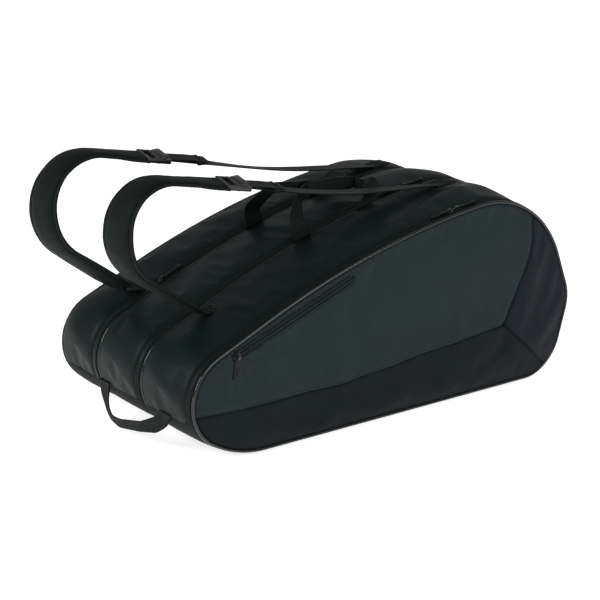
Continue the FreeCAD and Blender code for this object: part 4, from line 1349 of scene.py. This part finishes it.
class BAG_OT_shoulder_straps(bpy.types.Operator):
    """Both shoulder straps, from the foot tab to the patch on top."""
    bl_idname = "bag.shoulder_straps"
    bl_label = "Shoulder straps"

    def execute(self, context):
        for name, strap in STRAPS.items():
            pad_end, up = make_pad(name, strap)
            along = make_webbing(name, strap)
            make_lock(name, pad_end - along * 0.004, along, up)
            make_tab(name, strap)
            make_patch(name, strap)
        return {"FINISHED"}


# ---------------------------------------------------------------- handles

HANDLE_ROWS = 160
HANDLE_THICKNESS = 0.0025


def make_handle(name, stops):
    """A handle's webbing through stops of centre and half-width vector, eased round."""
    centres, halves = (np.array(values, float) for values in zip(*stops))
    centre = smoothed(resample(centres, HANDLE_ROWS), 15)
    half = smoothed(read_along(centres, halves, HANDLE_ROWS), 15)
    width = np.linalg.norm(half, axis=1)
    up = unit(np.cross(np.gradient(centre, axis=0), half))
    for i in range(1, HANDLE_ROWS):
        if up[i] @ up[i - 1] < 0:
            up[i] = -up[i]
    section = webbing_section(2.0, HANDLE_THICKNESS)
    rings = [centre + half * u + up * v for u, v in section]
    along = lengths(centre)
    uv = [np.stack([along, u * width], axis=1) for u, v in section]
    made = tube(name + "_webbing", np.stack(rings, axis=1), finish("polypropylene_webbing"), name,
                uv=np.stack(uv, axis=1))
    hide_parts(name)


# Each leg of a carry handle: the x of its foot, knee and place in the grip, and its turn.
HANDLE_LEGS = ((-0.090, -0.100, -0.048, 1), (0.030, 0.048, 0.052, -1))
WEBBING_HALF = 0.015
GRIP_HALF = 0.0085


def handle_stops(seam_y, lean):
    """The course of one carry handle's webbing: foot, knee, grip, knee and foot."""
    grip_y = 0.008 + lean * 0.008
    top = profile(SEAM_RISE[1] if lean < 0 else SEAM_RISE[2])
    over = top[top[:, 1] > 0.2]
    stops = []
    for foot_x, knee_x, grip_x, turn in HANDLE_LEGS:
        seam_z, next_z = np.interp((foot_x, foot_x + 0.01), over[:, 0], over[:, 1])
        foot_z = seam_z + 0.0005
        flat = unit((1, 0, (next_z - seam_z) / 0.01)) * WEBBING_HALF * turn
        y = seam_y - lean * 0.001
        leg = [((foot_x, seam_y, foot_z), flat * 1.1),
               ((foot_x * 0.5 + knee_x * 0.5, y, foot_z + 0.013), flat * 1.08),
               ((knee_x, y, foot_z + 0.028), (0.0175 * turn, lean * 0.002, -0.005)),
               ((knee_x + 0.004 * turn, y * 0.85 + grip_y * 0.15, foot_z + 0.038),
                (0.0105 * turn, 0.001 * lean, -0.0075)),
               ((grip_x * 0.45 + knee_x * 0.55, grip_y * 0.5 + seam_y * 0.5, 0.3265),
                (0.003 * turn, 0, -GRIP_HALF)),
               ((grip_x, grip_y, 0.328), (0, 0, -GRIP_HALF))]
        stops += leg if turn > 0 else leg[::-1]
    return stops


def make_grip():
    """The padded sleeve round the handles' middle, closed by an overlapping flap."""
    low, high = (np.array(corner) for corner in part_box("carry_handle_grip"))
    middle, half = (low + high) / 2, (high - low) / 2
    rows, around, flap_thickness = 60, 28, 0.0010
    share = np.linspace(-1, 1, rows)
    rim = np.clip(1 - np.abs(share) ** 10, 0, 1) ** 0.5 * 0.28 + 0.72
    swell = rim * (1.0 + 0.05 * np.cos(share * 2.4))
    rings = []
    for angle in np.linspace(0, 2 * math.pi, around, endpoint=False):
        c, s = math.cos(angle), math.sin(angle)
        across, up = (math.copysign(abs(value) ** 0.75, value) for value in (c, s))
        flap = flap_thickness * (s < -0.2 and c < 0)
        ring = np.stack([middle[0] + share * half[0] * (1.0 + 0.01 * c),
                         middle[1] + (across * half[1] * 1.02 - flap) * swell,
                         middle[2] + up * half[2] * swell], axis=1)
        ring += ripple(ring, 0.02, 41.0, 2)[:, None] * (0, 0.0006, 0.0006)
        rings.append(ring)
    along = np.linspace(0, half[0] * 2, rows)
    uv = np.stack([np.stack([along, np.full(rows, 0.0022 * j)], axis=1) for j in range(around)],
                  axis=1)
    made = tube("carry_handle_sleeve", np.stack(rings, axis=1), finish("air_mesh_pad_cloth"),
                "front_carry_handle", uv=uv)
    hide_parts("carry_handle_grip")
    angles = np.linspace(0, 2 * math.pi, 60)
    out = np.stack([0 * angles, np.cos(angles) * half[1], np.sin(angles) * half[2]], axis=1) * 1.02
    for number, x in enumerate((low[0] + 0.004, high[0] - 0.004)):
        stitches(f"carry_handle_sleeve_stitches_{number}", out + (x, middle[1], middle[2]), out,
                 "front_carry_handle", pitch=0.004)


class BAG_OT_carry_handles(bpy.types.Operator):
    """The two carry handles and the padded sleeve that gathers them."""
    bl_idname = "bag.carry_handles"
    bl_label = "Carry handles"

    def execute(self, context):
        for name, seam_y, lean in (("rear_carry_handle", SEAM_Y[2], 1),
                                   ("front_carry_handle", SEAM_Y[1], -1)):
            make_handle(name, handle_stops(seam_y, lean))
        make_grip()
        return {"FINISHED"}


# The grab handle's stops across the bag: y and z, and the half width's y and z.
GRAB_STOPS = ((0.056, 0.063, 0.0125, 0.0), (0.057, 0.042, 0.011, 0.0),
              (0.052, 0.030, 0.0055, -0.001), (0.044, 0.019, 0.003, -0.0025),
              (0.032, 0.0125, 0.001, -0.004), (0.005, 0.013, 0.0, -0.007),
              (-0.051, 0.026, 0.0, -0.0085), (-0.084, 0.038, -0.004, -0.0115),
              (-0.100, 0.050, -0.012, -0.006), (-0.104, 0.063, -0.0155, 0.0))


class BAG_OT_grab_handle(bpy.types.Operator):
    """The grab handle, a loop of webbing that twists as it hangs."""
    bl_idname = "bag.grab_handle"
    bl_label = "Grab handle"

    def execute(self, context):
        nearest_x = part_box("grab_handle")[1][0] - HANDLE_THICKNESS / 2
        stops = []
        for y, z, side_y, side_z in GRAB_STOPS:
            sag = math.sin(math.pi * np.clip((GRAB_STOPS[0][0] - y) / 0.160, 0, 1))
            stops.append(((nearest_x - 0.009 * sag, y, z), (0.0, side_y, side_z)))
        make_handle("grab_handle", stops)
        return {"FINISHED"}


# ---------------------------------------------------------------- sliders and pullers

PULLS = ("rear_zip", "front_zip_tail", "front_zip_head", "side_zip_tail", "side_zip_head",
         "pocket_zip")


# The long zips' puller and the pocket's: width, and length as a share of the CAD node's.
LONG_ZIP_PULLER = (0.0085, 1.0)
POCKET_PULLER = (0.0150, 0.88)
POCKET_PULLER_LIFT = 0.0014
GRIP_RIBS = 6


def make_puller(name):
    """A moulded puller: a waisted tag with a raised rim and grip ribs."""
    points = node_points(name + "_puller")
    centre = points.mean(axis=0)
    spread = points - centre
    along = np.linalg.svd(spread, full_matrices=False)[2][0]
    if (centre - node_points(name + "_slider").mean(axis=0)) @ along < 0:
        along = -along
    on_pocket = name == "pocket_zip"
    up = unit(np.cross(along, (1.0, 0.0, 0.0) if on_pocket else Y_AXIS))
    if up[2] < 0 or (on_pocket and up[1] > 0):
        up = -up
    reach, height = spread @ along, spread @ up
    origin = centre + along * reach.min() + up * (height.max() + height.min()) / 2
    if on_pocket:
        origin = origin + up * POCKET_PULLER_LIFT
    width, length_share = POCKET_PULLER if on_pocket else LONG_ZIP_PULLER
    length = (reach.max() - reach.min()) * length_share
    outline = rounded_outline(length, width, 0.0030, 6)
    outline[:, 1] *= 0.62 + 0.38 * smooth_step(outline[:, 0], 0.1 * length, 0.6 * length)
    forms = [slab(outline, ((-0.0010, 0.0006), (-0.0007, 0.0001), (0.0007, 0.0001),
                            (0.0010, 0.0006)))]
    forms += [soft_bar(length * 0.52 + 0.0024 * k, 0, 0.0011, 0.0052, 0.0006, low)
              for k in range(GRIP_RIBS) for low in (0.0008, -0.0014)]
    local, faces = rings_mesh(forms)
    made = piece(name + "_tag", placed(local, origin, along, up), faces,
                 finish("moulded_rubber"), name + "_puller")
    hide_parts(name + "_puller")


class BAG_OT_pulls(bpy.types.Operator):
    """Zip sliders with eased edges, and their moulded pullers."""
    bl_idname = "bag.pulls"
    bl_label = "Sliders and pullers"

    def execute(self, context):
        for name in PULLS:
            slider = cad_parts[name + "_slider"]
            edges = slider.modifiers.new("eased_edges", "BEVEL")
            edges.width = 0.0005
            edges.segments = 2
            repaint(slider, "painted_zinc")
            make_puller(name)
        return {"FINISHED"}


def repaint(cad_object, name):
    """Gives a CAD node that stays in sight one of the bag's finishes."""
    cad_object.data.materials.clear()
    cad_object.data.materials.append(finish(name))


class BAG_OT_boards(bpy.types.Operator):
    """The stiff boards inside the base."""
    bl_idname = "bag.boards"
    bl_label = "Base boards"

    def execute(self, context):
        for name in TUBS:
            repaint(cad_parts[name + "_base_board"], "polyethylene_board")
        return {"FINISHED"}


# ---------------------------------------------------------------- stage

def area_light(name, place, target, size, power):
    """A softbox at a place, facing its target. size is its width and height."""
    data = bpy.data.lights.new(name, "AREA")
    data.shape = "RECTANGLE"
    data.size, data.size_y = size
    data.energy = power
    made = bpy.data.objects.new(name, data)
    bpy.context.scene.collection.objects.link(made)
    made.location = place
    made.rotation_euler = (Vector(target) - Vector(place)).to_track_quat("-Z", "Y").to_euler()


CAMERA_PLACE = (-1.587, -1.901, 0.902)
CAMERA_PAN, CAMERA_TILT, CAMERA_ROLL = -0.680, 0.299, 0.028
CAMERA_LENS_MM, CAMERA_SENSOR_MM = 97.1, 36.0
FLOOR_REACH = 40.0
FLOOR_Z = -0.0052
WORLD_STRENGTH = 0.42
FLOOR_GLOW = 0.72


class BAG_OT_stage(bpy.types.Operator):
    """Camera, pale floor and soft studio light."""
    bl_idname = "bag.stage"
    bl_label = "Stage"

    def execute(self, context):
        scene = context.scene
        camera = bpy.data.cameras.new("studio_camera")
        camera.lens, camera.sensor_width = CAMERA_LENS_MM, CAMERA_SENSOR_MM
        camera.clip_end = 50
        view = bpy.data.objects.new("studio_camera", camera)
        scene.collection.objects.link(view)
        view.matrix_world = (Matrix.Translation(CAMERA_PLACE)
                             @ Matrix.Rotation(CAMERA_PAN, 4, "Z")
                             @ Matrix.Rotation(math.pi / 2 - CAMERA_TILT, 4, "X")
                             @ Matrix.Rotation(CAMERA_ROLL, 4, "Z"))
        scene.camera = view
        corners = [(x * FLOOR_REACH, y * FLOOR_REACH, FLOOR_Z)
                   for x, y in ((-1, -1), (1, -1), (1, 1), (-1, 1))]
        floor = piece("studio_floor", corners, [(0, 1, 2, 3)], studio_paper(), None, smooth=False)
        world = bpy.data.worlds.new("studio")
        scene.world = world
        world.use_nodes = True
        sky = world.node_tree.nodes["Background"]
        sky.inputs["Color"].default_value = (1, 1, 1, 1)
        sky.inputs["Strength"].default_value = WORLD_STRENGTH
        scene.view_settings.view_transform = "Standard"
        area_light("tail_softbox", (-2.4, 0.2, 1.3), (-0.2, 0, 0.2), (1.2, 1.2), 40)
        area_light("front_softbox", (0.2, -2.6, 1.2), (0, 0, 0.15), (2.0, 1.2), 40)
        return {"FINISHED"}


def studio_paper():
    """Matt background paper, evenly pale."""
    made, tree = finish_tree("seamless_paper")
    fibre = node(tree, "ShaderNodeTexNoise", values={"Scale": 400.0, "Detail": 2.0})
    bump = node(tree, "ShaderNodeBump", values={"Strength": 0.03, "Distance": 0.0005},
                links={"Height": fibre.outputs["Fac"]})
    shade(tree, {"Base Color": linear(bpy.context.scene.bag_colours.floor), "Roughness": 0.9,
                 "Specular IOR Level": 0.1, "Emission Color": (1, 1, 1, 1),
                 "Emission Strength": FLOOR_GLOW}, {"Normal": bump.outputs[0]})
    return made


# ---------------------------------------------------------------- add-on

OPERATORS = (BAG_OT_tubs, BAG_OT_pipings, BAG_OT_zips, BAG_OT_side_panel, BAG_OT_walls,
             BAG_OT_shoulder_straps, BAG_OT_carry_handles, BAG_OT_grab_handle, BAG_OT_pulls,
             BAG_OT_boards, BAG_OT_stage)


class BAG_PT_sidebar(bpy.types.Panel):
    """The bag's pieces in the sidebar."""
    bl_idname = "BAG_PT_sidebar"
    bl_label = "Racket bag"
    bl_space_type = "VIEW_3D"
    bl_region_type = "UI"
    bl_category = "Racket bag"

    def draw(self, context):
        for name in BagSizes.__annotations__:
            self.layout.prop(context.scene.bag_sizes, name)
        for name in BagColours.__annotations__:
            self.layout.prop(context.scene.bag_colours, name)
        for operator in OPERATORS:
            self.layout.operator(operator.bl_idname)


CLASSES = (BagSizes, BagColours) + OPERATORS + (BAG_PT_sidebar,)


def register():
    for cls in CLASSES:
        bpy.utils.register_class(cls)
    bpy.types.Scene.bag_sizes = PointerProperty(type=BagSizes)
    bpy.types.Scene.bag_colours = PointerProperty(type=BagColours)


def unregister():
    del bpy.types.Scene.bag_colours
    del bpy.types.Scene.bag_sizes
    for cls in reversed(CLASSES):
        bpy.utils.unregister_class(cls)


def main():
    register()
    for operator in OPERATORS:
        getattr(bpy.ops.bag, operator.bl_idname.split(".")[1])()


if __name__ == "__main__":
    main()
